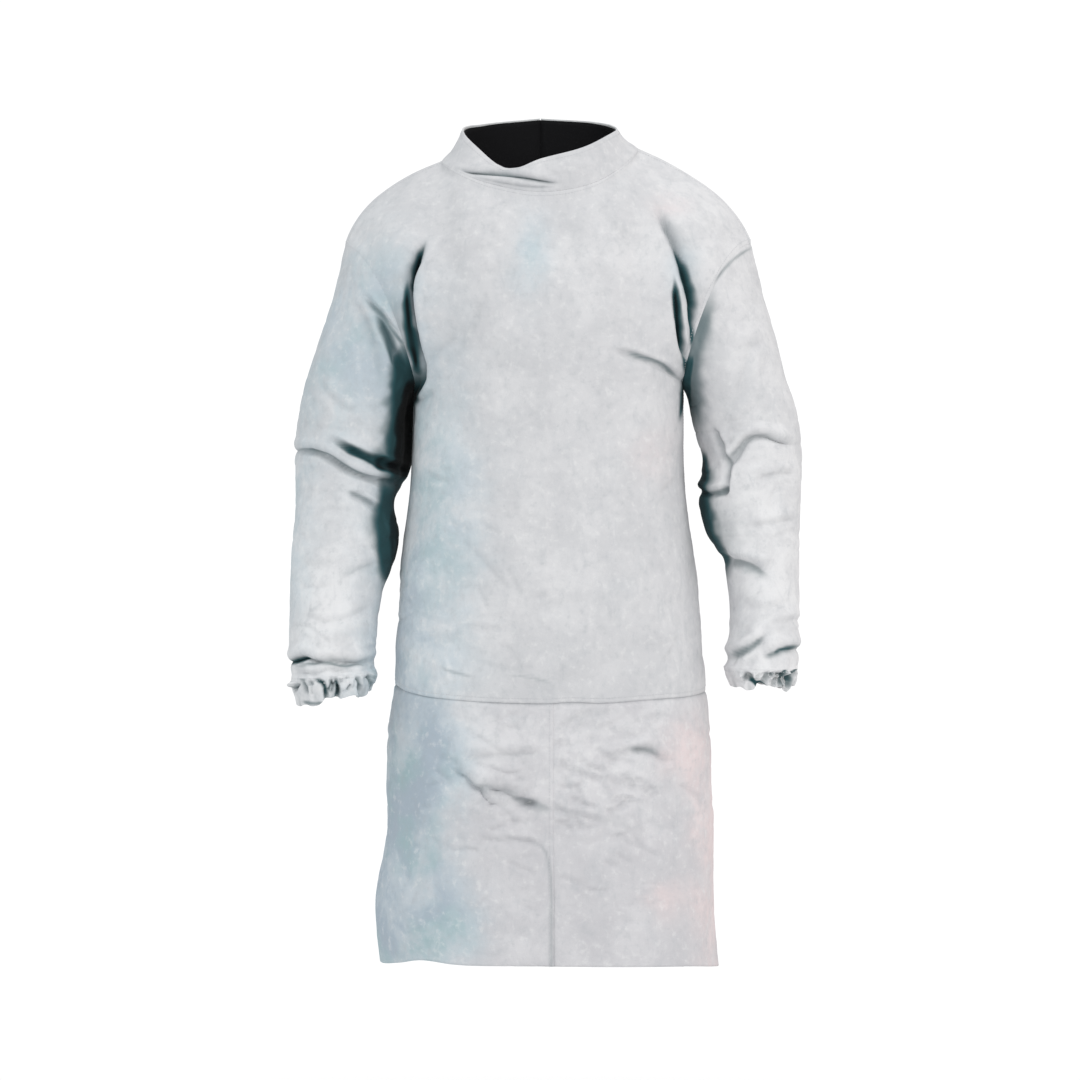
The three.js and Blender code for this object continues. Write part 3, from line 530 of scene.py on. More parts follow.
def from_line(places, x, z):
    """Points' distances from a line, positive above it or to its right, shares along it and its side."""
    line = smooth_line(places)
    steps = np.hypot(*np.diff(line, axis=0).T)
    nearest = np.full(x.shape, np.inf)
    signed, along, side_x, side_z = (np.zeros(x.shape) for _ in range(4))
    before = 0.0
    for (ax, az), (bx, bz), length in zip(line[:-1], line[1:], steps):
        ux, uz = (bx - ax) / length, (bz - az) / length
        t = np.clip((x - ax) * ux + (z - az) * uz, 0, length)
        dx, dz = x - ax - t * ux, z - az - t * uz
        distance = np.hypot(dx, dz)
        nearer = distance < nearest
        nearest = np.where(nearer, distance, nearest)
        signed = np.where(nearer, np.where(ux * dz - uz * dx < 0, -distance, distance), signed)
        along = np.where(nearer, (before + t) / steps.sum(), along)
        side_x = np.where(nearer, -uz, side_x)
        side_z = np.where(nearer, ux, side_z)
        before += length
    return signed, along, side_x, side_z


def near(places, x, z, reach):
    """Which points lie no further than reach from the box round a line."""
    low, high = np.min(places, axis=0) - reach, np.max(places, axis=0) + reach
    return np.nonzero((x > low[0]) & (x < high[0]) & (z > low[1]) & (z < high[1]))


def fold(sheet, folds, hold, closed=False):
    """Folds a sheet along lines on its front. Returns it and how deep in a fold each point lies, 0 to 1."""
    out = normals(sheet, closed)
    x, z = seen(sheet)
    facing = ease((0.5 - out[..., 1]) / 0.6) * hold
    push, deep, slide = np.zeros(x.shape), np.zeros(x.shape), np.zeros(sheet.shape)
    for depth, width, bulge, lap, places in folds:
        at = near(places, x, z, 4.5 * width)
        signed, along, side_x, side_z = from_line(places, x[at], z[at])
        fade = fade_ends(along, FOLD_ENDS) * facing[at]
        across = signed / width
        from_bottom = np.abs(across + 0.4 * (lap > 0))
        trough = np.exp(-from_bottom ** 1.8)
        valley = 0.6 * trough + 0.4 * np.exp(-(from_bottom / 0.42) ** 1.3)
        push[at] += fade * (bulge * bell(across - 1.25, 1.0) - depth * valley)
        over = -lap * fade * bell(across - 0.5, 0.8)
        slide[at] += points(over * side_x, 0, over * side_z)
        deep[at] = np.maximum(deep[at], fade * trough * np.clip(depth / FULL_SHADE_DEPTH, 0, 1))
    slide -= np.sum(slide * out, axis=-1, keepdims=True) * out
    return sheet + push[..., None] * out + slide, deep


def fold_lines(name, seed):
    """The folds of a piece, with short shallow creases scattered over its creased zones."""
    chance = np.random.default_rng(seed)
    lines = list(FOLDS[name])
    for count, x, z, reach_x, reach_z, lean, scatter, depth, width, length in CREASED[name]:
        for _ in range(count):
            middle = np.array([chance.normal(x, reach_x), chance.normal(z, reach_z)])
            angle = np.radians(lean + chance.normal(0, scatter))
            half = length * chance.uniform(0.3, 0.9) * np.array([np.cos(angle), np.sin(angle)])
            sag = chance.normal(0, 0.16) * np.array([-half[1], half[0]])
            deep, wide = depth * chance.uniform(0.4, 1.7), width * chance.uniform(0.8, 1.5)
            lines.append((deep, wide, 0.5 * deep, 0, [middle - half, middle + sag, middle + half]))
    return lines


def tinted(sheet, patches):
    """How strongly patches of another tint show at each point, 0 to 1."""
    x, z = seen(sheet)
    total = np.zeros(x.shape)
    for strength, middle_x, middle_z, reach_x, reach_z in patches:
        total += strength * np.exp(-((x - middle_x) / reach_x) ** 2 - ((z - middle_z) / reach_z) ** 2)
    return np.clip(total, 0, 1)


def painted_shade_along(sheet, rows, closed=False):
    """How dark each point of a sheet is painted as shade along lines, 0 to 1, on its front and sides."""
    x, z = seen(sheet)
    uneven = 0.3 * lumps(sheet, 26, 3) + 0.25 * lumps(sheet, 11, 4)
    dark = np.zeros(x.shape)
    for strength, left, right, places in rows:
        signed, along, _, _ = from_line(places, x, z)
        taper = np.sin(np.pi * np.clip(along, 0, 1)) ** 0.6
        softness = np.where(signed < 0, left, right)
        ragged = np.maximum(softness * taper * (1 + uneven), FINEST_SHADE)
        softness = np.where(softness < WIDE, ragged, softness)
        dark = np.maximum(dark, strength * fade_ends(along, SHADE_ENDS) * bell(signed, softness))
    dark *= 1 - 0.07 * np.clip(lumps(sheet, (9, 9, 30), 9), 0, 1)
    return dark * ease((0.5 - normals(sheet, closed)[..., 1]) / 0.5)


def crumple(sheet, hold, seed, amount=1.0, closed=False):
    """Uneven swells and fine wrinkles of soft leather."""
    height = 2.2 * lumps(sheet, (80, 80, 105), seed) + 0.9 * lumps(sheet, (36, 36, 44), seed + 1)
    height += 0.3 * lumps(sheet, 15, seed + 2)
    height -= 0.5 * (1 - np.abs(lumps(sheet, (48, 48, 17), seed + 3))) ** 8
    return moved_out(sheet, amount * hold * height, closed)


def seam_swell(sheet, away, height, closed=False):
    """Lets the leather swell beside a sewn edge, with small puckers. away is the distance from that edge."""
    swell = height * ease(away / 5) * bell(away, 12)
    pucker = 0.5 * height * lumps(sheet, 9, 5) * bell(away, 10) * ease(away / 4)
    return moved_out(sheet, swell + pucker, closed)


def neck_fillet(sheet, away):
    """Rounds the leather out along the collar's seam, by the same step on both sides of the seam."""
    outwards = sheet[..., :2] - np.array(NECK_MIDDLE)
    far = np.linalg.norm(outwards, axis=-1, keepdims=True)
    lift = NECK_FILLET * bell(away, 11)[..., None] * ease((190 - far) / 60)
    return sheet + 0.7 * lift * np.concatenate([outwards / far, np.ones_like(far)], axis=-1)


# Walls of leather
def add(name, data):
    made = bpy.data.objects.new(name, data)
    bpy.context.scene.collection.objects.link(made)
    return made


def make_mesh(name, places, faces, looks, marks, crisp):
    """A mesh of groups of faces. The second group is the inside and has the second look."""
    mesh = bpy.data.meshes.new(name)
    counts = [len(face) for face in faces]
    corners = np.concatenate([face.ravel() for face in faces]).astype(np.int32)
    sides = np.repeat([face.shape[1] for face in faces], counts)
    mesh.vertices.add(len(places))
    mesh.vertices.foreach_set("co", (places * MM).astype(np.float32).ravel())
    mesh.loops.add(len(corners))
    mesh.loops.foreach_set("vertex_index", corners)
    mesh.polygons.add(len(sides))
    mesh.polygons.foreach_set("loop_start", (np.cumsum(sides) - sides).astype(np.int32))
    for look in looks:
        mesh.materials.append(look)
    look_of = np.repeat(np.arange(len(faces)) == 1, counts)
    mesh.polygons.foreach_set("material_index", look_of.astype(np.int32))
    mesh.update(calc_edges=True)
    mesh.shade_smooth()
    ends = np.empty(2 * len(mesh.edges), np.int32)
    mesh.edges.foreach_get("vertices", ends)
    mesh.edges.foreach_set("use_edge_sharp", crisp[ends].reshape(-1, 2).all(axis=1))
    for mark, values in marks.items():
        mesh.attributes.new(mark, "FLOAT", "POINT").data.foreach_set("value", values.astype(np.float32))
    return add(name, mesh)


def border(rows, columns, closed):
    """The loops of points round the edge of a grid, with the grid on their left."""
    index = np.arange(rows * columns).reshape(rows, columns)
    if closed:
        return [index[0], index[-1][::-1]]
    return [np.concatenate([index[0, :-1], index[:-1, -1], index[-1, :0:-1], index[:0:-1, 0]])]


def grid_faces(rows, columns, closed):
    index = np.arange(rows * columns).reshape(rows, columns)
    if closed:
        index = np.concatenate([index, index[:, :1]], axis=1)
    corners = [index[:-1, :-1], index[:-1, 1:], index[1:, 1:], index[1:, :-1]]
    return np.stack([corner.ravel() for corner in corners], axis=-1)


def behind(sheet, thickness, step, closed, creased):
    """The inside of a sheet: smoother than its outside, and clear of its folds by the thickness."""
    out = normals(relax(sheet, 72 if creased else 12, closed=closed), closed)
    rows, columns = sheet.shape[:2]
    deepest = np.zeros((rows, columns))
    reach = step + 2 if creased else step
    for down in range(-reach, reach + 1):
        row = np.clip(np.arange(rows) + down, 0, rows - 1)
        for along in range(-reach, reach + 1):
            column = np.arange(columns) + along
            column = column % columns if closed else np.clip(column, 0, columns - 1)
            deepest = np.maximum(deepest, np.sum((sheet - sheet[row][:, column]) * out, axis=-1))
    deepest *= (1.3 if creased else 1) * (step > 1)
    return sheet - (thickness + deepest[..., None]) * out, deepest


def wall(name, sheet, thickness, looks, closed=False, sewn=(), marks=None, step=INSIDE_STEP, creased=False):
    """The closed wall of a sheet, with round edges. sewn names the edges that meet another piece."""
    rows, columns = sheet.shape[:2]
    thickness = np.broadcast_to(thickness, (rows, columns))[..., None]
    inside, deepest = behind(sheet, thickness, step, closed, creased)
    sheet = sheet.copy()
    outward = np.zeros_like(sheet)
    crisp = np.zeros((rows, columns), bool)
    edges = {"foot": (np.s_[0], np.s_[1]), "top": (np.s_[-1], np.s_[-2])}
    if not closed:
        edges.update(start=(np.s_[:, 0], np.s_[:, 1]), end=(np.s_[:, -1], np.s_[:, -2]))
    for edge, (rim, beside) in edges.items():
        away = unit(sheet[rim] - sheet[beside])
        if edge in sewn:
            crisp[rim] = True
            sheet[rim] -= SEAM_GAP / 2 * away
            inside[rim] -= (SEAM_GAP / 2 + SKIVE) * away
        else:
            outward[rim] += 0.3 * thickness[rim] * away
    middle = sheet - 0.5 * thickness * normals(sheet, closed) + outward
    inside = inside[::step, ::step]
    inner_rows, inner_columns = inside.shape[:2]
    first_inside = rows * columns
    count = first_inside + inner_rows * inner_columns
    inner_faces = grid_faces(inner_rows, inner_columns, closed)[:, ::-1] + first_inside
    faces = [grid_faces(rows, columns, closed), inner_faces]
    rings = border(rows, columns, closed)
    for ring, inner_ring in zip(rings, border(inner_rows, inner_columns, closed)):
        a, j = np.arange(len(ring)), np.arange(len(inner_ring))
        inner_ring = inner_ring + first_inside
        between = [count + (step * j + k) % len(ring) for k in range(step, -1, -1)]
        faces.append(np.stack([np.roll(ring, -1), ring, count + a, count + np.roll(a, -1)], axis=-1))
        faces.append(np.stack(between + [inner_ring, np.roll(inner_ring, -1)], axis=-1))
        count += len(ring)
    rims = np.concatenate(rings)
    places = np.concatenate([sheet.reshape(-1, 3), inside.reshape(-1, 3), middle.reshape(-1, 3)[rims]])
    shown = {}
    for mark in MARKS:
        outside = np.broadcast_to((marks or {}).get(mark, 0.0), (rows, columns))
        # Where the inside pokes through the outside in deep folds it takes the outside's marks, so the
        # painted shade there covers it
        marks_poking_through = (outside * ease(deepest / 3 - 1))[::step, ::step]
        shown[mark] = np.concatenate([outside.ravel(), marks_poking_through.ravel(), outside.ravel()[rims]])
    crisp = np.concatenate([crisp.ravel(), np.zeros(count - first_inside, bool)])
    return make_mesh(name, places, faces, looks, shown, crisp)


# The shapes of the pieces
LOWER_ROWS, UPPER_ROWS = 156, 117   # rows of a panel below and above the armpit


def oval(section, bearing, level):
    """Points of the body at bearings, on sections that are between an oval and a rectangle."""
    sine, cosine = np.sin(np.radians(bearing)), np.cos(np.radians(bearing))
    width = np.where(sine < 0, section["left"], section["right"])
    depth = np.where(cosine > 0, section["front"], section["back"])
    x = np.sign(sine) * np.abs(sine) ** (2 / SQUARENESS) * width
    y = -np.sign(cosine) * np.abs(cosine) ** (2 / SQUARENESS) * depth
    return points(x, y, level)


def sleeve_point(ring, side, turn, girth=1.0):
    """Points of a sleeve. turn goes round it once, from 0 in the middle of its front to 1."""
    sign = SIGN[side]
    outwards, forwards = sign * np.sin(2 * np.pi * turn), np.cos(2 * np.pi * turn)
    bow = sign * ring["bow"] * np.maximum(forwards, 0) * (1 + 0.4 * outwards)
    tuck = sign * ring["tuck"] * (2 * np.maximum(-outwards, 0) * np.maximum(-forwards, 0)) ** 2
    depth = np.where(forwards > 0, ring["front"], ring["back"])
    half_x, half_z = (ring["outer_x"] - ring["inner_x"]) / 2, (ring["outer_z"] - ring["inner_z"]) / 2
    return points(
        ring["inner_x"] + half_x + outwards * girth * half_x - bow - tuck,
        ring["middle"] - forwards * girth * depth,
        ring["inner_z"] + half_z + outwards * girth * half_z,
    )


def armhole(side, share, half):
    """Points on the armhole seam, from the armpit (share 0) to the shoulder's tip (share 1)."""
    ring = read(SLEEVES[side], "along", np.zeros_like(share))
    armpit_turn = 0.25 if side == "left" else 0.75
    to_tip = -0.5 if (side == "left") == (half == "front") else 0.5
    return sleeve_point(ring, side, armpit_turn + to_tip * share)


def collar_point(bearing, share):
    """Points of the collar at bearings, from its base (share 0) to its rim (share 1)."""
    at = read(COLLAR, "bearing", bearing)
    base = points(at["base_x"], at["base_y"], at["base_z"])
    rim = points(at["rim_x"], at["rim_y"], at["rim_z"])
    outwards = unit(points(at["base_x"] - NECK_MIDDLE[0], at["base_y"], 0))
    belly = at["roll"] * np.sin(np.pi * share)
    return mix(base, rim, np.asarray(share)[..., None]) + belly[..., None] * outwards


def shoulder_edge(side, reach, shoulder, neck_end):
    """The top edge of a panel: the shoulder seam and then the neckline."""
    tip = armhole(side, np.ones_like(reach), "front")
    share = np.minimum(reach / shoulder, 1)
    neck = collar_point(np.full_like(reach, NECK_SIDE[side]), np.zeros_like(reach))
    seam = mix(tip, neck, (share ** 1.4)[..., None])
    seam[..., 2] += SHOULDER_RISE * np.sin(np.pi * share ** 0.85)
    round_share = np.clip((reach - shoulder) / (1 - shoulder), 0, 1)
    neckline = collar_point(mix(NECK_SIDE[side], neck_end, round_share), np.zeros_like(reach))
    return np.where((share < 1)[..., None], seam, neckline)


def upper_rows(lower, side, half, reach, neck_end):
    """A panel above the armpit. reach goes from 0 at the armhole to 1 at the panel's middle or back edge."""
    shape = (UPPER_ROWS, reach.shape[1])
    climb = np.broadcast_to(np.linspace(0, 1, UPPER_ROWS + 1)[1:, None], shape)
    reach = np.broadcast_to(reach, shape)
    top = shoulder_edge(side, reach, SHOULDER_SHARE[half], neck_end)
    armpit, tip = (armhole(side, np.full(shape, end), half) for end in (0.0, 1.0))
    straight = mix(armpit, tip, climb[..., None])
    pull = 1 - ease(reach)
    below = (1 - climb) / 0.12
    round_out = SHOULDER_ROUND * below * np.exp(1 - below) * np.sign(FULLNESS[half]) * ease(5 * reach)
    sheet = mix(lower[-1:], top, climb[..., None]) + pull[..., None] * (armhole(side, climb, half) - straight)
    sheet[..., 1] += np.sin(np.pi * climb) * FULLNESS[half] * ease(reach) + round_out * ease(2.2 - 2 * reach)
    return sheet


def settle(sheet, passes):
    """Evens out a panel, more and more from a little below the armpit upwards."""
    share = 0.5 * ease((np.arange(sheet.shape[0]) / LOWER_ROWS - 0.55) / 0.4)
    return relax(sheet, passes, share[:, None])


def waist_level(bearing):
    at_side = np.where(bearing < 0, WAIST_SIDE["left"], WAIST_SIDE["right"])
    return mix(at_side, WAIST_FRONT, np.maximum(np.cos(np.radians(bearing)), 0))


def front_panel_sheet():
    columns = 285
    u = np.linspace(0, 1, columns + 1)[None, :]
    row = np.linspace(0, 1, LOWER_ROWS + 1)[:, None]
    seam = read(BODY, "level", mix(WAIST_SIDE["right"], ARMPIT, row))["side_seam"]
    bearing = mix(-seam, seam, u)
    level = mix(waist_level(bearing), ARMPIT, row)
    lower = oval(read(BODY, "level", level), bearing, level)
    halves = []
    for side, part in (("left", np.s_[:, :columns // 2]), ("right", np.s_[:, columns // 2:])):
        halves.append(upper_rows(lower[part], side, "front", 1 - np.abs(2 * u[part] - 1), 0))
    return settle(np.concatenate([lower, np.concatenate(halves, axis=1)]), 360)


def back_panel_sheet(side):
    columns, sign = 72, SIGN[side]
    u = np.linspace(0, 1, columns + 1)[None, :]
    reach = 1 - u if side == "left" else u
    level = mix(WAIST_SIDE[side], ARMPIT, np.linspace(0, 1, LOWER_ROWS + 1)[:, None])
    section = read(BODY, "level", level)
    lower = oval(section, sign * mix(section["side_seam"], section["back_edge"], reach), level)
    upper = upper_rows(lower, side, "back", reach, sign * COLLAR_END)
    return settle(np.concatenate([lower, upper]), 300)


def skirt_sheet(side):
    columns, rows, lap_columns = 156, 150, 8
    top_level = WAIST_SIDE["right"] + WAIST_LAP
    v = np.linspace(0, 1, rows + 1)[:, None]
    middle = mix(SKIRT["level"][-1], top_level, v)
    above, below = read(BODY, "level", middle), read(SKIRT, "level", middle)
    flare = ease((WAIST_FRONT - 4 - middle) / 40)
    section = {name: mix(above[name], below[name], flare) for name in ("left", "right", "front", "back")}
    wrap = mix(above["back_edge"] - 1, below["wrap"], flare)
    seam = np.degrees(np.arcsin(SKIRT_SEAM_X / section["right"]))
    lap = np.degrees(SKIRT_LAP / 2 / section["right"])
    sign = SIGN[side]
    lap_share = np.linspace(0, 1, lap_columns + 1)[None, :]
    free_share = np.linspace(0, 1, columns - lap_columns + 1)[None, 1:]
    bearing = np.concatenate([mix(seam - sign * lap, seam + sign * lap, lap_share),
                              mix(seam + sign * lap, sign * wrap, free_share)], axis=1)
    if side == "left":
        bearing = bearing[:, ::-1]
    return oval(section, bearing, mix(read(HEM, "bearing", bearing)["level"], top_level, v))


def sleeve_sheet(side):
    along, around = 240, 192
    v = np.linspace(0, 1, along + 1)[:, None]
    return sleeve_point(read(SLEEVES[side], "along", 1 - v), side, turns_round(around))


def cuff_ruffle(turn):
    """How far the gathers of a cuff stand in, from 0 on a ridge to 1 in a furrow, round its edge."""
    wave = 2 * np.pi * turn
    broad = np.cos(7 * wave + 2.3 * np.sin(2 * wave + 0.8) + 1.5 * np.sin(5 * wave + 2.5))
    fine = np.cos(13 * wave + 2.8 * np.sin(3 * wave + 1.9))
    return 0.5 - 0.5 * np.clip(0.55 * broad + 0.5 * fine, -1, 1)


def cuff_sheet(side):
    along, around = 30, 342
    v = np.linspace(0, 1, along + 1)[:, None]
    turn = turns_round(around)
    last = read(SLEEVES[side], "along", np.ones((1, 1)))
    at = read(CUFFS[side], "along", 1 - v)
    wave = 2 * np.pi * turn
    sag = (1 - v) ** 2 * (2.2 * np.sin(4 * wave + 1) + 1.8 * np.sin(9 * wave + 2.2))
    ring = dict(last, outer_z=last["outer_z"] - at["outer_drop"] + sag,
                inner_z=last["inner_z"] - at["inner_drop"] + sag)
    depth = at["gather"] * (0.75 + 0.25 * np.sin(3 * wave + 0.6))
    return sleeve_point(ring, side, turn, at["girth"] - depth * cuff_ruffle(turn) / last["front"])


def collar_sheet():
    shape = (28, 301)
    bearing = np.broadcast_to(np.linspace(-COLLAR_END, COLLAR_END, shape[1])[None, :], shape)
    return collar_point(bearing, np.broadcast_to(np.linspace(0, 1, shape[0])[:, None], shape))


def nape_strap_sheet():
    right = np.linspace(134, COLLAR_END, 25)
    bearing = np.concatenate([right, -right[::-1]])
    whole = collar_point(bearing, np.ones_like(bearing)) - collar_point(bearing, np.zeros_like(bearing))
    v = np.linspace(0, 1, 13)[:, None]
    share = 0.5 + (v - 0.5) * NAPE_STRAP_HEIGHT / np.linalg.norm(whole, axis=-1)
    return moved_out(collar_point(np.broadcast_to(bearing, share.shape), share), LEATHER + LAP_GAP)


def back_strap_sheet():
    level = BACK_STRAP_LEVEL + (np.linspace(0, 1, 13)[:, None] - 0.5) * BACK_STRAP_HEIGHT
    section = read(BODY, "level", level)
    overlap = np.degrees(STRAP_OVERLAP / read(BODY, "level", BACK_STRAP_LEVEL)["back"])
    held = np.linspace(1, 0, 14)[None, :]
    right, left = (oval(section, sign * (section["back_edge"] + 3 - overlap * share), level)
                   for sign, share in ((1, held), (-1, held[:, ::-1])))
    free = np.linspace(0, 1, 62)[None, 1:-1, None]
    sheet = np.concatenate([right, mix(right[:, -1:], left[:, :1], free), left], axis=1)
    return moved_out(sheet, LEATHER + LAP_GAP)


# Finishes
def feed(tree, value, socket):
    """Links a socket to another node's output, or sets it to a constant."""
    if isinstance(value, bpy.types.NodeSocket):
        tree.links.new(value, socket)
    else:
        socket.default_value = value


def put(tree, kind, **settings):
    node = tree.nodes.new(kind)
    for name, value in settings.items():
        if name in node.inputs:
            feed(tree, value, node.inputs[name])
        else:
            setattr(node, name, value)
    return node


def blend(tree, share, first, second):
    node = put(tree, "ShaderNodeMix", data_type="RGBA")
    for place, value in ((0, share), (6, first), (7, second)):
        feed(tree, value, node.inputs[place])
    return node.outputs[2]


def spread(tree, value, low, high, to_low=0.0, to_high=1.0):
    """Turns the range from low to high into another range, with soft ends."""
    limits = {"From Min": low, "From Max": high, "To Min": to_low, "To Max": to_high}
    return put(tree, "ShaderNodeMapRange", interpolation_type="SMOOTHSTEP", Value=value, **limits).outputs[0]


def combine(tree, operation, first, second):
    node = put(tree, "ShaderNodeMath", operation=operation)
    feed(tree, first, node.inputs[0])
    feed(tree, second, node.inputs[1])
    return node.outputs[0]


def cloud(tree, place, scale, detail=3.0, rough=0.55, distort=0.0):
    return put(tree, "ShaderNodeTexNoise", Vector=place, Scale=scale, Detail=detail, Roughness=rough,
               Distortion=distort).outputs[0]


def shader_group(name, inputs, outputs):
    tree = bpy.data.node_groups.new(name, "ShaderNodeTree")
    for direction, sockets in (("INPUT", inputs), ("OUTPUT", outputs)):
        for socket, kind in sockets.items():
            tree.interface.new_socket(socket, in_out=direction, socket_type=f"NodeSocket{kind}")
    return tree, tree.nodes.new("NodeGroupInput").outputs, tree.nodes.new("NodeGroupOutput").inputs


def make_hide_tone():
    """Cloudy, uneven colour of an old split hide, with bluish and pinkish patches that are partly painted
    cool and warm light, lightened places, and painted shade in its folds and underarms.
    """
    inputs = {"Place": "Vector", "Pale": "Color", "Dull": "Color"}
    inputs.update((mark.capitalize(), "Float") for mark in MARKS)
    tree, given, result = shader_group("hide_tone", inputs, {"Color": "Color", "Roughness": "Float"})
    place, pale, dull, grime = (given[name] for name in ("Place", "Pale", "Dull", "Grime"))
    broad = spread(tree, cloud(tree, place, 7, 4, 0.6, 0.3), 0.34, 0.68)
    patches = spread(tree, cloud(tree, place, 22, 6, 0.66, 0.3), 0.38, 0.64)
    mottle = cloud(tree, place, 110, 4, 0.62)
    tone = blend(tree, combine(tree, "MULTIPLY", broad, 0.6), pale, dull)
    tone = blend(tree, combine(tree, "MULTIPLY", patches, 0.6), tone, dull)
    # Lightened places blend towards a pale grey
    bleached = combine(tree, "MULTIPLY", given["Bleached"], spread(tree, patches, 0.0, 1.0, 0.9, 0.45))
    tone = blend(tree, bleached, tone, (0.86, 0.86, 0.87, 1))
    ragged = spread(tree, cloud(tree, place, 14, 6, 0.66, 0.3), 0.32, 0.68, 0.55, 1.45)
    bluish = spread(tree, combine(tree, "MULTIPLY", given["Bluish"], ragged), 0.02, 0.9, 0.0, 0.92)
    teal = spread(tree, cloud(tree, place, 11, 3, 0.6), 0.4, 0.6)
    blue = blend(tree, teal, (0.4, 0.468, 0.54, 1), (0.355, 0.49, 0.515, 1))
    tone = blend(tree, bluish, tone, blend(tree, bluish, (0.48, 0.655, 0.74, 1), blue))
    pinkish = spread(tree, combine(tree, "MULTIPLY", given["Pinkish"], ragged), 0.1, 1.0, 0.0, 0.75)
    tone = blend(tree, pinkish, tone, (0.82, 0.69, 0.69, 1))
    brushed = put(tree, "ShaderNodeVectorMath", operation="MULTIPLY", Vector=place)
    feed(tree, (1.0, 1.0, 0.45), brushed.inputs[1])
    streaks = cloud(tree, brushed.outputs[0], 60, 5, 0.65, 0.8)
    for value, low, high, most, colour in (
        (streaks, 0.48, 0.76, 0.26, (0.44, 0.47, 0.5, 1)),
        (mottle, 0.52, 0.74, 0.34, (0.84, 0.84, 0.84, 1)),
        (mottle, 0.48, 0.26, 0.26, (0.42, 0.45, 0.47, 1)),
        # Painted shade: teal-dark, and near black where it is strongest
        (grime, 0.0, 0.8, 1.0, (0.03, 0.088, 0.1, 1)),
        (grime, 0.72, 1.0, 1.0, (0.003, 0.005, 0.006, 1)),
    ):
        tone = blend(tree, spread(tree, value, low, high, 0.0, most), tone, colour)
    feed(tree, tone, result["Color"])
    feed(tree, spread(tree, mottle, 0.2, 0.8, 0.86, 1.0), result["Roughness"])
    return tree


def make_nap():
    """The raised nap of the split side: short fibres over a coarser grain."""
    tree, given, result = shader_group("hide_nap", {"Place": "Vector"}, {"Height": "Float"})
    place = given["Place"]
    fibres = combine(tree, "MULTIPLY", cloud(tree, place, 900, 2, 0.6), 0.35)
    grain = combine(tree, "MULTIPLY", cloud(tree, place, 260, 3, 0.6), 0.4)
    creases = combine(tree, "MULTIPLY", cloud(tree, place, 70, 3, 0.6, 0.8), 0.55)
    feed(tree, combine(tree, "ADD", combine(tree, "ADD", fibres, grain), creases), result["Height"])
    return tree


HIDE_TONE = make_hide_tone()
NAP = make_nap()


def new_look(name, settings):
    look = bpy.data.materials.new(name)
    look.use_nodes = True
    shader = look.node_tree.nodes["Principled BSDF"]
    for socket, value in settings.items():
        shader.inputs[socket].default_value = value
    return look, look.node_tree, shader


def roughen(tree, shader, height, strength, distance):
    raised = put(tree, "ShaderNodeBump", Strength=strength, Distance=distance, Height=height)
    feed(tree, raised.outputs["Normal"], shader.inputs["Normal"])


def leather_finish(name, pale, dull, bump):
    look, tree, shader = new_look(
        name, {"Specular IOR Level": 0.1, "Sheen Weight": 0.05, "Sheen Roughness": 0.55})
    place = put(tree, "ShaderNodeTexCoord").outputs["Object"]
    tone = put(tree, "ShaderNodeGroup", node_tree=HIDE_TONE, Place=place, Pale=(*pale, 1), Dull=(*dull, 1))
    for mark in MARKS:
        shown = put(tree, "ShaderNodeAttribute", attribute_name=mark)
        feed(tree, shown.outputs["Fac"], tone.inputs[mark.capitalize()])
    feed(tree, tone.outputs["Color"], shader.inputs["Base Color"])
    feed(tree, tone.outputs["Roughness"], shader.inputs["Roughness"])
    nap = put(tree, "ShaderNodeGroup", node_tree=NAP, Place=place)
    roughen(tree, shader, nap.outputs["Height"], bump, 0.0012)
    look.diffuse_color = (*pale, 1)
    return look


def plain_finish(name, colour, roughness, bump_scale):
    look, tree, shader = new_look(
        name, {"Base Color": (*colour, 1), "Roughness": roughness, "Specular IOR Level": 0.2})
    place = put(tree, "ShaderNodeTexCoord").outputs["Object"]
    roughen(tree, shader, cloud(tree, place, bump_scale, 2), 0.4, 0.0006)
    return look


suede = leather_finish("grey_split_suede", (0.71, 0.71, 0.725), (0.585, 0.59, 0.61), 0.5)
skirt_suede = leather_finish("skirt_suede", (0.685, 0.68, 0.70), (0.55, 0.545, 0.57), 0.55)
suede_inside = leather_finish("suede_inside", (0.6, 0.61, 0.61), (0.5, 0.515, 0.52), 0.6)
# Black that is painted shade: it stands in for the deep shade inside the collar
shade_black_lining = plain_finish("black_lining_painted_shade", (0.006, 0.006, 0.007), 0.95, 900)
thread = plain_finish("grey_thread", (0.6, 0.61, 0.63), 0.85, 2500)
LEATHER_LOOKS = [suede, suede_inside]


# Making the pieces
BACKS = ["back_panel_left", "back_panel_right"]
STITCH_LINES = {}


def flat_size(sheet, closed):
    """Largest width and length along a sheet, in metres: the size of the leather it is cut from."""
    across = np.concatenate([sheet, sheet[:, :1]], axis=1) if closed else sheet
    return float(runs(across, 1)[0][:, -1].max() * MM), float(runs(sheet, 0)[0][-1].max() * MM)


def piece(name, node, plain, shaped, held, rests_on, slot="split_leather", thickness=LEATHER,
          looks=LEATHER_LOOKS, closed=False, **more):
    """Makes a piece from its shaped sheet. The plain one, without folds, gives the size it is cut to."""
    made = wall(name, shaped, thickness, looks, closed, **more)
    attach(made, "root")
    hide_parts(node)
    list(flat_size(plain, closed))


def plan_stitches(name, sheet, axis, from_start, distance=5.0, lift=0.1, closed=False, trim=0):
    """Notes a line for stitches, at a distance from one edge of a sheet and just above its outside."""
    raised = moved_out(sheet, lift, closed)
    run = runs(sheet, axis)[0 if from_start else 1]
    if axis == 1:
        raised, run = raised.transpose(1, 0, 2), run.T
    if not from_start:
        raised, run = raised[::-1], run[::-1]
    line = [[np.interp(distance, run[:, k], raised[:, k, c]) for c in range(3)]
            for k in range(trim, run.shape[1] - trim)]
    STITCH_LINES.setdefault(name, []).append(np.array(line))


def marks_of(sheet, grime, bleached=0.0):
    return {"grime": grime, "bluish": tinted(sheet, BLUISH), "pinkish": tinted(sheet, PINKISH),
            "bleached": bleached}


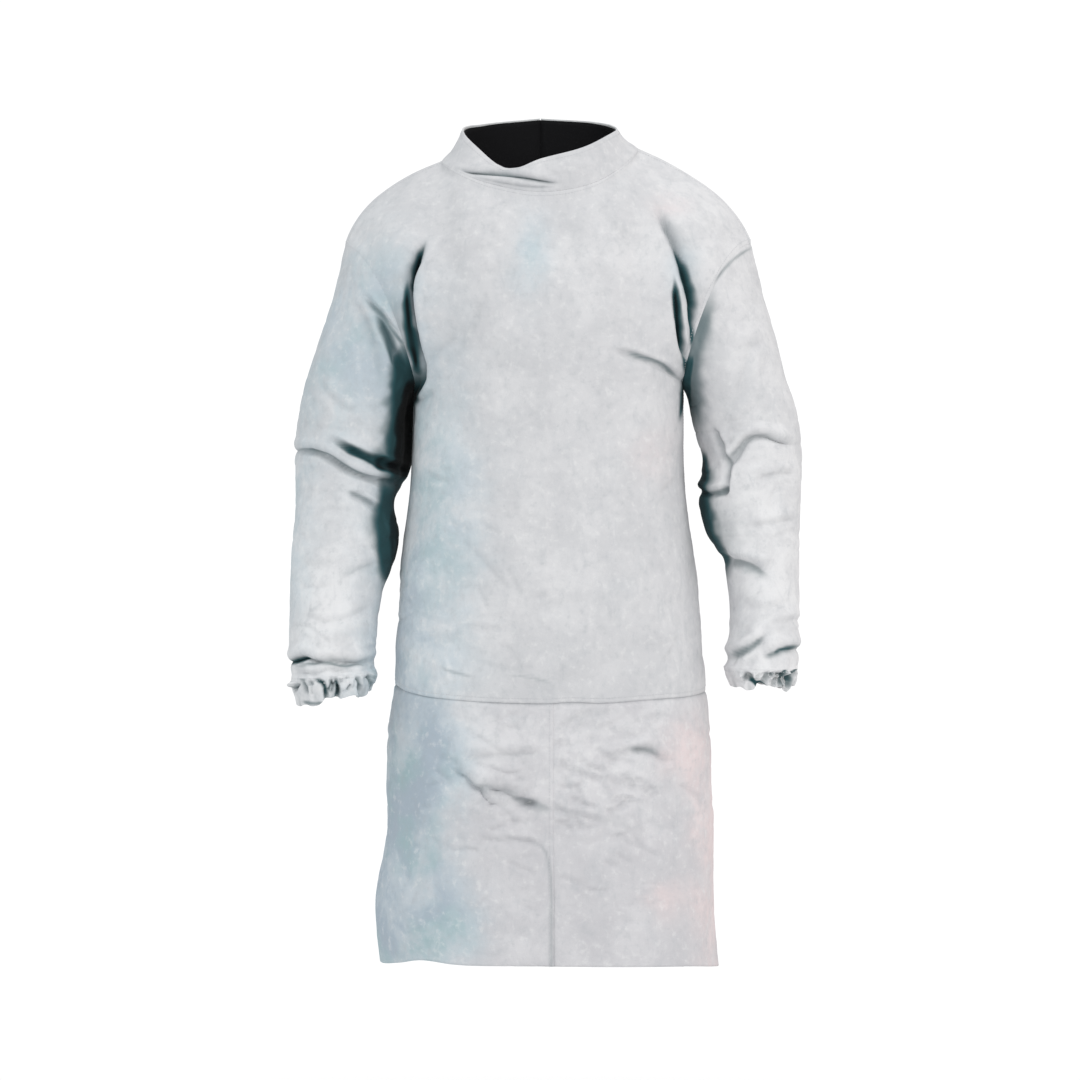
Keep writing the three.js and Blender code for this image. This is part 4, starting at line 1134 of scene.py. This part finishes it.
front = front_panel_sheet()
left_away, right_away = runs(front, 1)
foot, top = runs(front, 0)
sewn_away = np.minimum(np.minimum(left_away, right_away), top)
above_lap = ease((foot - 22) / 22)
lines = fold_lines("front_panel", 41)
hold = ease(sewn_away / FOLD_HOLD) * above_lap
folded, deep = fold(front, [line for line in lines if line[0] > 0], hold)
folded, _ = fold(folded, [line for line in lines if line[0] < 0], ease(foot / FOLD_HOLD))
folded = relax(crumple(folded, ease(sewn_away / CRUMPLE_HOLD) * above_lap, 1, 1.15), 1)
for away, height in ((left_away, 0.2), (right_away, 0.9), (top, 0.1)):
    folded = seam_swell(folded, away, height)
folded = moved_out(neck_fillet(folded, top), -WAIST_EDGE_SINK * bell(foot, 7))
folded[..., 2] += 2 * lumps(folded, (34, 34, 1000), 6) * bell(foot, 9)
for name, axis, from_start in (("waist", 0, True), ("armhole", 1, False), ("neck", 0, False)):
    plan_stitches(name, folded, axis, from_start)
# Painted shade in the folds, in the armhole slits and down the torso's sides beside the sleeves
grime = np.maximum(0.34 * deep, painted_shade_along(front, PAINTED_SHADE_LINES["front_panel"]))
# Paler on the upper right of the chest; on the lower left of the torso, painted light that lifts the shade
# falling there beside the sleeve
bleached = 0.35 * ease((front[..., 0] - 60) / 120) * ease((front[..., 2] + 260) / 160)
bleached = bleached + 0.8 * ease((-50 - front[..., 0]) / 110) * ease((-250 - front[..., 2]) / 120)
piece("front_panel_leather", "front_panel", front, folded, "hung", ["collar", *BACKS],
      thickness=mix(PARED, LEATHER, ease(foot / PARED_WIDTH)), sewn=("start", "end", "top"),
      marks=marks_of(front, grime, bleached), creased=True)

for seed, side in enumerate(("left", "right")):
    back = back_panel_sheet(side)
    start, end = runs(back, 1)
    foot, top = runs(back, 0)
    sewn_away = np.minimum(end if side == "left" else start, top)
    shaped = crumple(back, ease(sewn_away / CRUMPLE_HOLD) * ease(foot / 16), 4 + 5 * seed)
    shaped = neck_fillet(seam_swell(shaped, sewn_away, 0.4), top)
    plan_stitches("armhole", shaped, 1, side == "right")
    plan_stitches("neck", shaped, 0, False)
    piece(f"back_panel_{side}_leather", f"back_panel_{side}", back, shaped, "hung", ["collar", "front_panel"],
          sewn=("end" if side == "left" else "start", "top"), marks=marks_of(back, 0.0))

lines = fold_lines("skirt", 43)
for side in ("left", "right"):
    skirt = skirt_sheet(side)
    start, end = runs(skirt, 1)
    lap_away = end if side == "left" else start
    below_waist = ease((runs(skirt, 0)[1] - 24) / 14)
    off_lap = below_waist * (1 - 0.8 * np.exp(-((skirt[..., 0] - SKIRT_SEAM_X) / 13) ** 4))
    folded, deep = fold(skirt, lines, off_lap)
    rumpled = np.exp(-((skirt[..., 0] - 10) / 130) ** 2 - ((skirt[..., 2] + 735) / 55) ** 2)
    folded = crumple(folded, below_waist * 0.7 + off_lap * (0.3 + 1.6 * rumpled), 13)
    bearing = np.degrees(np.arctan2(skirt[..., 0], -skirt[..., 1]))
    below_edge = waist_level(bearing) - skirt[..., 2]
    front_edge = mix(LEATHER, PARED, ease(1 + below_edge / PARED_WIDTH))
    under_front = (front_edge + 0.6 * LAP_GAP + WAIST_EDGE_SINK) * (1 - ease((below_edge - 1) / 6))
    towards_hem = ease((-790 - skirt[..., 2]) / 60)
    skived = mix(0.9, LEATHER, towards_hem)
    if side == "left":
        thickness = mix(skived, LEATHER, ease(lap_away / 14))
        under_left = -0.8 * towards_hem * bell(lap_away, 8)
    else:
        thickness = LEATHER
        left_thickness = mix(skived, LEATHER, ease((SKIRT_LAP - lap_away) / 14))
        under_left = (left_thickness + 0.5) * (1 - ease((lap_away - SKIRT_LAP) / 12))
    folded = moved_out(folded, -(under_front + under_left))
    if side == "left":
        plan_stitches("skirt", folded, 1, False, 4.5)
    # Painted shade in the folds and along the lines, and painted shadow under the front panel's lower edge
    grime = np.maximum(0.4 * deep, painted_shade_along(skirt, PAINTED_SHADE_LINES["skirt"]))
    shade_under_edge = 0.4 + 0.3 * lumps(skirt, (46, 46, 1000), 8)
    grime = np.maximum(grime, shade_under_edge * bell(np.maximum(below_edge, 0), 3.5))
    bleached = 0.3 * ease((skirt[..., 2] + 790) / 120) * ease((skirt[..., 0] + 150) / 60)
    piece(f"skirt_{side}_leather", f"skirt_{side}", skirt, folded, "hung", ["front_panel"],
          thickness=thickness, looks=[skirt_suede, suede_inside], marks=marks_of(skirt, grime, bleached))

for seed, side in enumerate(("left", "right")):
    sleeve = sleeve_sheet(side)
    foot, top = runs(sleeve, 0)
    lines = fold_lines(f"sleeve_{side}", 51 + seed)
    hold = ease(foot / FOLD_HOLD)
    folded, deep = fold(sleeve, lines, ease(top / FOLD_HOLD) * hold, closed=True)
    folded = crumple(folded, ease(top / CRUMPLE_HOLD) * hold, 17 + 6 * seed, 1.5, closed=True)
    gathers = -2.6 * cuff_ruffle(turns_round(sleeve.shape[1])) * ease(1 - foot / 30)
    folded = relax(moved_out(folded, gathers * ease(foot / 4), True), 1, closed=True)
    folded = seam_swell(folded, top, 0.2 + 0.6 * seed, closed=True)
    # Painted shade in the folds and on the sleeve's inner side, where it faces the body
    grime = np.maximum(0.36 * deep, painted_shade_along(sleeve, PAINTED_SHADE_LINES[f"sleeve_{side}"], closed=True))
    bleached = mix(0.2 * seed, 0.8 - 0.1 * seed, ease((-240 - 60 * (1 - seed) - sleeve[..., 2]) / 200))
    piece(f"sleeve_{side}_leather", f"sleeve_{side}", sleeve, folded, "hung",
          ["front_panel", f"back_panel_{side}"], closed=True, sewn=("foot", "top"),
          marks=marks_of(sleeve, grime, bleached), creased=True)
    cuff = cuff_sheet(side)
    below_seam = runs(cuff, 0)[1]
    furrow = ease((cuff_ruffle(turns_round(cuff.shape[1])) - 0.55) / 0.45)
    furrow = furrow * np.linspace(0.7, 0, cuff.shape[0])[:, None]
    on_front = ease((0.15 - normals(cuff, True)[..., 1]) / 0.5)
    lines = fold_lines(f"cuff_{side}", 71 + seed)
    gathered, deep = fold(cuff, lines, ease(below_seam / 5) * on_front, closed=True)
    gathered = crumple(gathered, ease(below_seam / 6), 27 + seed, 0.8, closed=True)
    plan_stitches("cuff", gathered, 0, False, 4.0, closed=True)
    # Painted shade in the furrows of the gathers, in the folds and along the lines
    cuff_shade = painted_shade_along(cuff, PAINTED_SHADE_LINES[f"cuff_{side}"], closed=True)
    grime = np.maximum(np.maximum(0.4 * furrow, 1.1 * deep), cuff_shade)
    piece(f"cuff_{side}_leather", f"cuff_{side}", cuff, gathered, "gathered", [f"sleeve_{side}"],
          closed=True, sewn=("top",), marks=marks_of(cuff, grime, 0.7))

collar = collar_sheet()
base_away, rim_away = runs(collar, 0)
folded, deep = fold(collar, fold_lines("collar", 61), ease(base_away / 6) * ease((rim_away + 4) / 8))
folded = crumple(folded, ease(base_away / 10), 31, 0.5)
folded = neck_fillet(seam_swell(folded, base_away, 0.1), base_away)
plan_stitches("collar", folded, 0, False)
# The collar's folds get painted shade by their depth
piece("collar_leather", "collar", collar, folded, "folded", ["front_panel", *BACKS],
      sewn=("foot",), marks=marks_of(collar, deep))
# The collar's lining: a sheet inside the collar, reaching a little below its base, whose black is painted
# shade for the deep shade inside the collar
lining, _ = behind(folded, LEATHER + 1.2 * LAP_GAP, INSIDE_STEP, False, True)
lining = relax(lining, 4)
below_base = lining[:1] - points(0, 0, np.linspace(LINING_DROP, 1, 8))[:, None]
lining = np.concatenate([below_base, lining[1:-1]])
for edge, beside in ((0, 1), (-1, -2)):
    lining[:, edge] = lining[:, beside]
    lining[:, edge, 0] = LINING_MEETS + 0.25 * np.sign(lining[0, beside, 0] - LINING_MEETS)
piece("collar_lining_painted_shade", "collar_lining", lining, lining, "folded", ["collar"], "collar_lining",
      thickness=LINING, looks=[shade_black_lining, shade_black_lining])

for node, strap, inset, rests_on in (("nape_strap", nape_strap_sheet(), 16.0, ["collar"]),
                                     ("back_strap", back_strap_sheet(), 26.0, BACKS)):
    piece(f"{node}_leather", node, strap, strap, "stretched", rests_on, step=1)
    for start in (True, False):
        for distance in (4.0, inset):
            plan_stitches("strap", strap, 1, start, distance, 0.25, trim=1)


# Stitches
def stitch_tree():
    """Geometry nodes that lay stitches of uneven length along lines, and the names of their settings."""
    tree = bpy.data.node_groups.new("seam_stitches", "GeometryNodeTree")
    socket, sockets = tree.interface.new_socket, {}
    socket("Geometry", in_out="INPUT", socket_type="NodeSocketGeometry")
    for name, kind in (*((setting, "Float") for setting in STITCH), ("Seed", "Int"), ("Thread", "Material")):
        sockets[name] = socket(name, in_out="INPUT", socket_type=f"NodeSocket{kind}").identifier
    socket("Geometry", in_out="OUTPUT", socket_type="NodeSocketGeometry")
    given = tree.nodes.new("NodeGroupInput").outputs
    curve = put(tree, "GeometryNodeMeshToCurve", Mesh=given["Geometry"]).outputs["Curve"]
    places = put(tree, "GeometryNodeResampleCurve", mode="LENGTH", Curve=curve, Length=given["Pitch"])
    bead = put(tree, "GeometryNodeMeshUVSphere", Segments=6, Rings=4, Radius=0.5)
    tangent = put(tree, "GeometryNodeInputTangent").outputs[0]
    aim = put(tree, "FunctionNodeAlignRotationToVector", axis="X", Vector=tangent)
    uneven = put(tree, "FunctionNodeRandomValue", data_type="FLOAT", Seed=given["Seed"])
    feed(tree, 0.82, uneven.inputs[2])
    feed(tree, 1.08, uneven.inputs[3])
    length = combine(tree, "MULTIPLY", uneven.outputs[1], given["Stitch Length"])
    thick = given["Thread Thickness"]
    size = put(tree, "ShaderNodeCombineXYZ", X=length, Y=thick, Z=thick)
    laid = put(tree, "GeometryNodeInstanceOnPoints", Points=places.outputs["Curve"],
               Instance=bead.outputs["Mesh"], Rotation=aim.outputs[0], Scale=size.outputs[0]).outputs[0]
    for kind in ("GeometryNodeRealizeInstances", "GeometryNodeSetShadeSmooth"):
        node = tree.nodes.new(kind)
        feed(tree, laid, node.inputs[0])
        laid = node.outputs[0]
    dyed = put(tree, "GeometryNodeSetMaterial", Geometry=laid, Material=given["Thread"])
    feed(tree, dyed.outputs[0], tree.nodes.new("NodeGroupOutput").inputs[0])
    return tree, sockets


STITCHES, STITCH_SOCKETS = stitch_tree()


def sew(name, lines, seed):
    """Rows of stitches along lines on the leather."""
    verts, edges = [], []
    for line in lines:
        first = len(verts)
        verts += [tuple(p * MM) for p in line]
        edges += [(k, k + 1) for k in range(first, len(verts) - 1)]
    path = bpy.data.meshes.new(name)
    path.from_pydata(verts, edges, [])
    row = add(name, path)
    modifier = row.modifiers.new("stitches", "NODES")
    modifier.node_group = STITCHES
    sizes = {setting: size * MM for setting, size in STITCH.items()}
    for setting, value in {**sizes, "Seed": seed, "Thread": thread}.items():
        modifier[STITCH_SOCKETS[setting]] = value
    ready = row.evaluated_get(bpy.context.evaluated_depsgraph_get())
    sewn = bpy.data.meshes.new_from_object(ready)
    row.modifiers.clear()
    row.data = sewn
    sewn.name = name
    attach(row, "root")
    return row


SEWN = {name: sew(f"{name}_stitches", lines, k) for k, (name, lines) in enumerate(STITCH_LINES.items())}


# Floor, light and camera
def floor_finish():
    """A pale floor that fades out away from its middle."""
    look, tree, shader = new_look("pale_floor", {"Base Color": (0.93, 0.93, 0.93, 1), "Roughness": 0.95})
    place = put(tree, "ShaderNodeTexCoord").outputs["Object"]
    far = put(tree, "ShaderNodeVectorMath", operation="LENGTH", Vector=place).outputs["Value"]
    clear = tree.nodes.new("ShaderNodeBsdfTransparent")
    fade = tree.nodes.new("ShaderNodeMixShader")
    for socket, value in zip(fade.inputs, (spread(tree, far, 0.9, 2.4), shader.outputs[0], clear.outputs[0])):
        feed(tree, value, socket)
    feed(tree, fade.outputs[0], tree.nodes["Material Output"].inputs["Surface"])
    return look


floor_mesh = bpy.data.meshes.new("floor")
turns = np.linspace(0, 2 * np.pi, 64, endpoint=False)
floor_mesh.from_pydata([(2.5 * math.cos(a), 2.5 * math.sin(a), 0) for a in turns], [], [list(range(64))])
floor_mesh.materials.append(floor_finish())
floor = add("floor", floor_mesh)
floor.location = (0, 0, -1.42)

scene = bpy.context.scene
scene.world = bpy.data.worlds.new("white_studio")
scene.world.use_nodes = True
sky = scene.world.node_tree
background = sky.nodes["Background"].inputs
towards = put(sky, "ShaderNodeTexCoord").outputs["Generated"]
direction = put(sky, "ShaderNodeSeparateXYZ", Vector=towards).outputs
front_light = spread(sky, direction[1], 1.0, 0.2, 0.5, 0.9)
top_light = spread(sky, direction[2], -0.8, 0.8, 0.76, 1.08)
seen_by_camera = put(sky, "ShaderNodeLightPath").outputs["Is Camera Ray"]
strength = put(sky, "ShaderNodeMix", data_type="FLOAT")
for place, value in ((0, seen_by_camera), (2, combine(sky, "MULTIPLY", front_light, top_light)), (3, 1.05)):
    feed(sky, value, strength.inputs[place])
feed(sky, strength.outputs[0], background["Strength"])
tint = blend(sky, spread(sky, direction[0], -0.9, 0.9), (0.96, 0.99, 1.0, 1), (1.0, 0.985, 0.975, 1))
feed(sky, blend(sky, seen_by_camera, tint, (1, 1, 1, 1)), background["Color"])

lamp = bpy.data.lights.new("key_soft_box", "AREA")
lamp.shape = "RECTANGLE"
lamp.size, lamp.size_y = 1.4, 1.4
lamp.energy = 30
lamp.color = (1.0, 0.99, 0.98)
soft_box = add("key_soft_box", lamp)
soft_box.location = (1.4, -2.8, 1.6)
aim = Vector((0, 0, -0.4)) - soft_box.location
soft_box.rotation_euler = aim.to_track_quat("-Z", "Y").to_euler()

camera_data = bpy.data.cameras.new("camera")
camera_data.sensor_width = SENSOR
camera_data.lens = SENSOR * EYE_DISTANCE / (PICTURE_PIXELS * MM_PER_PIXEL)
camera = add("camera", camera_data)
eye_x = (PICTURE_PIXELS / 2 - MIDDLE_COLUMN) * MM_PER_PIXEL
camera.location = (eye_x * MM, -EYE_DISTANCE * MM, EYE_LEVEL * MM)
look_down = math.atan((PICTURE_PIXELS / 2 - EYE_ROW) * MM_PER_PIXEL / EYE_DISTANCE)
camera.rotation_euler = (math.radians(90) - look_down, 0, 0)
scene.camera = camera
scene.view_settings.view_transform = "Standard"
scene.view_settings.look = "None"

bpy.context.view_layer.update()
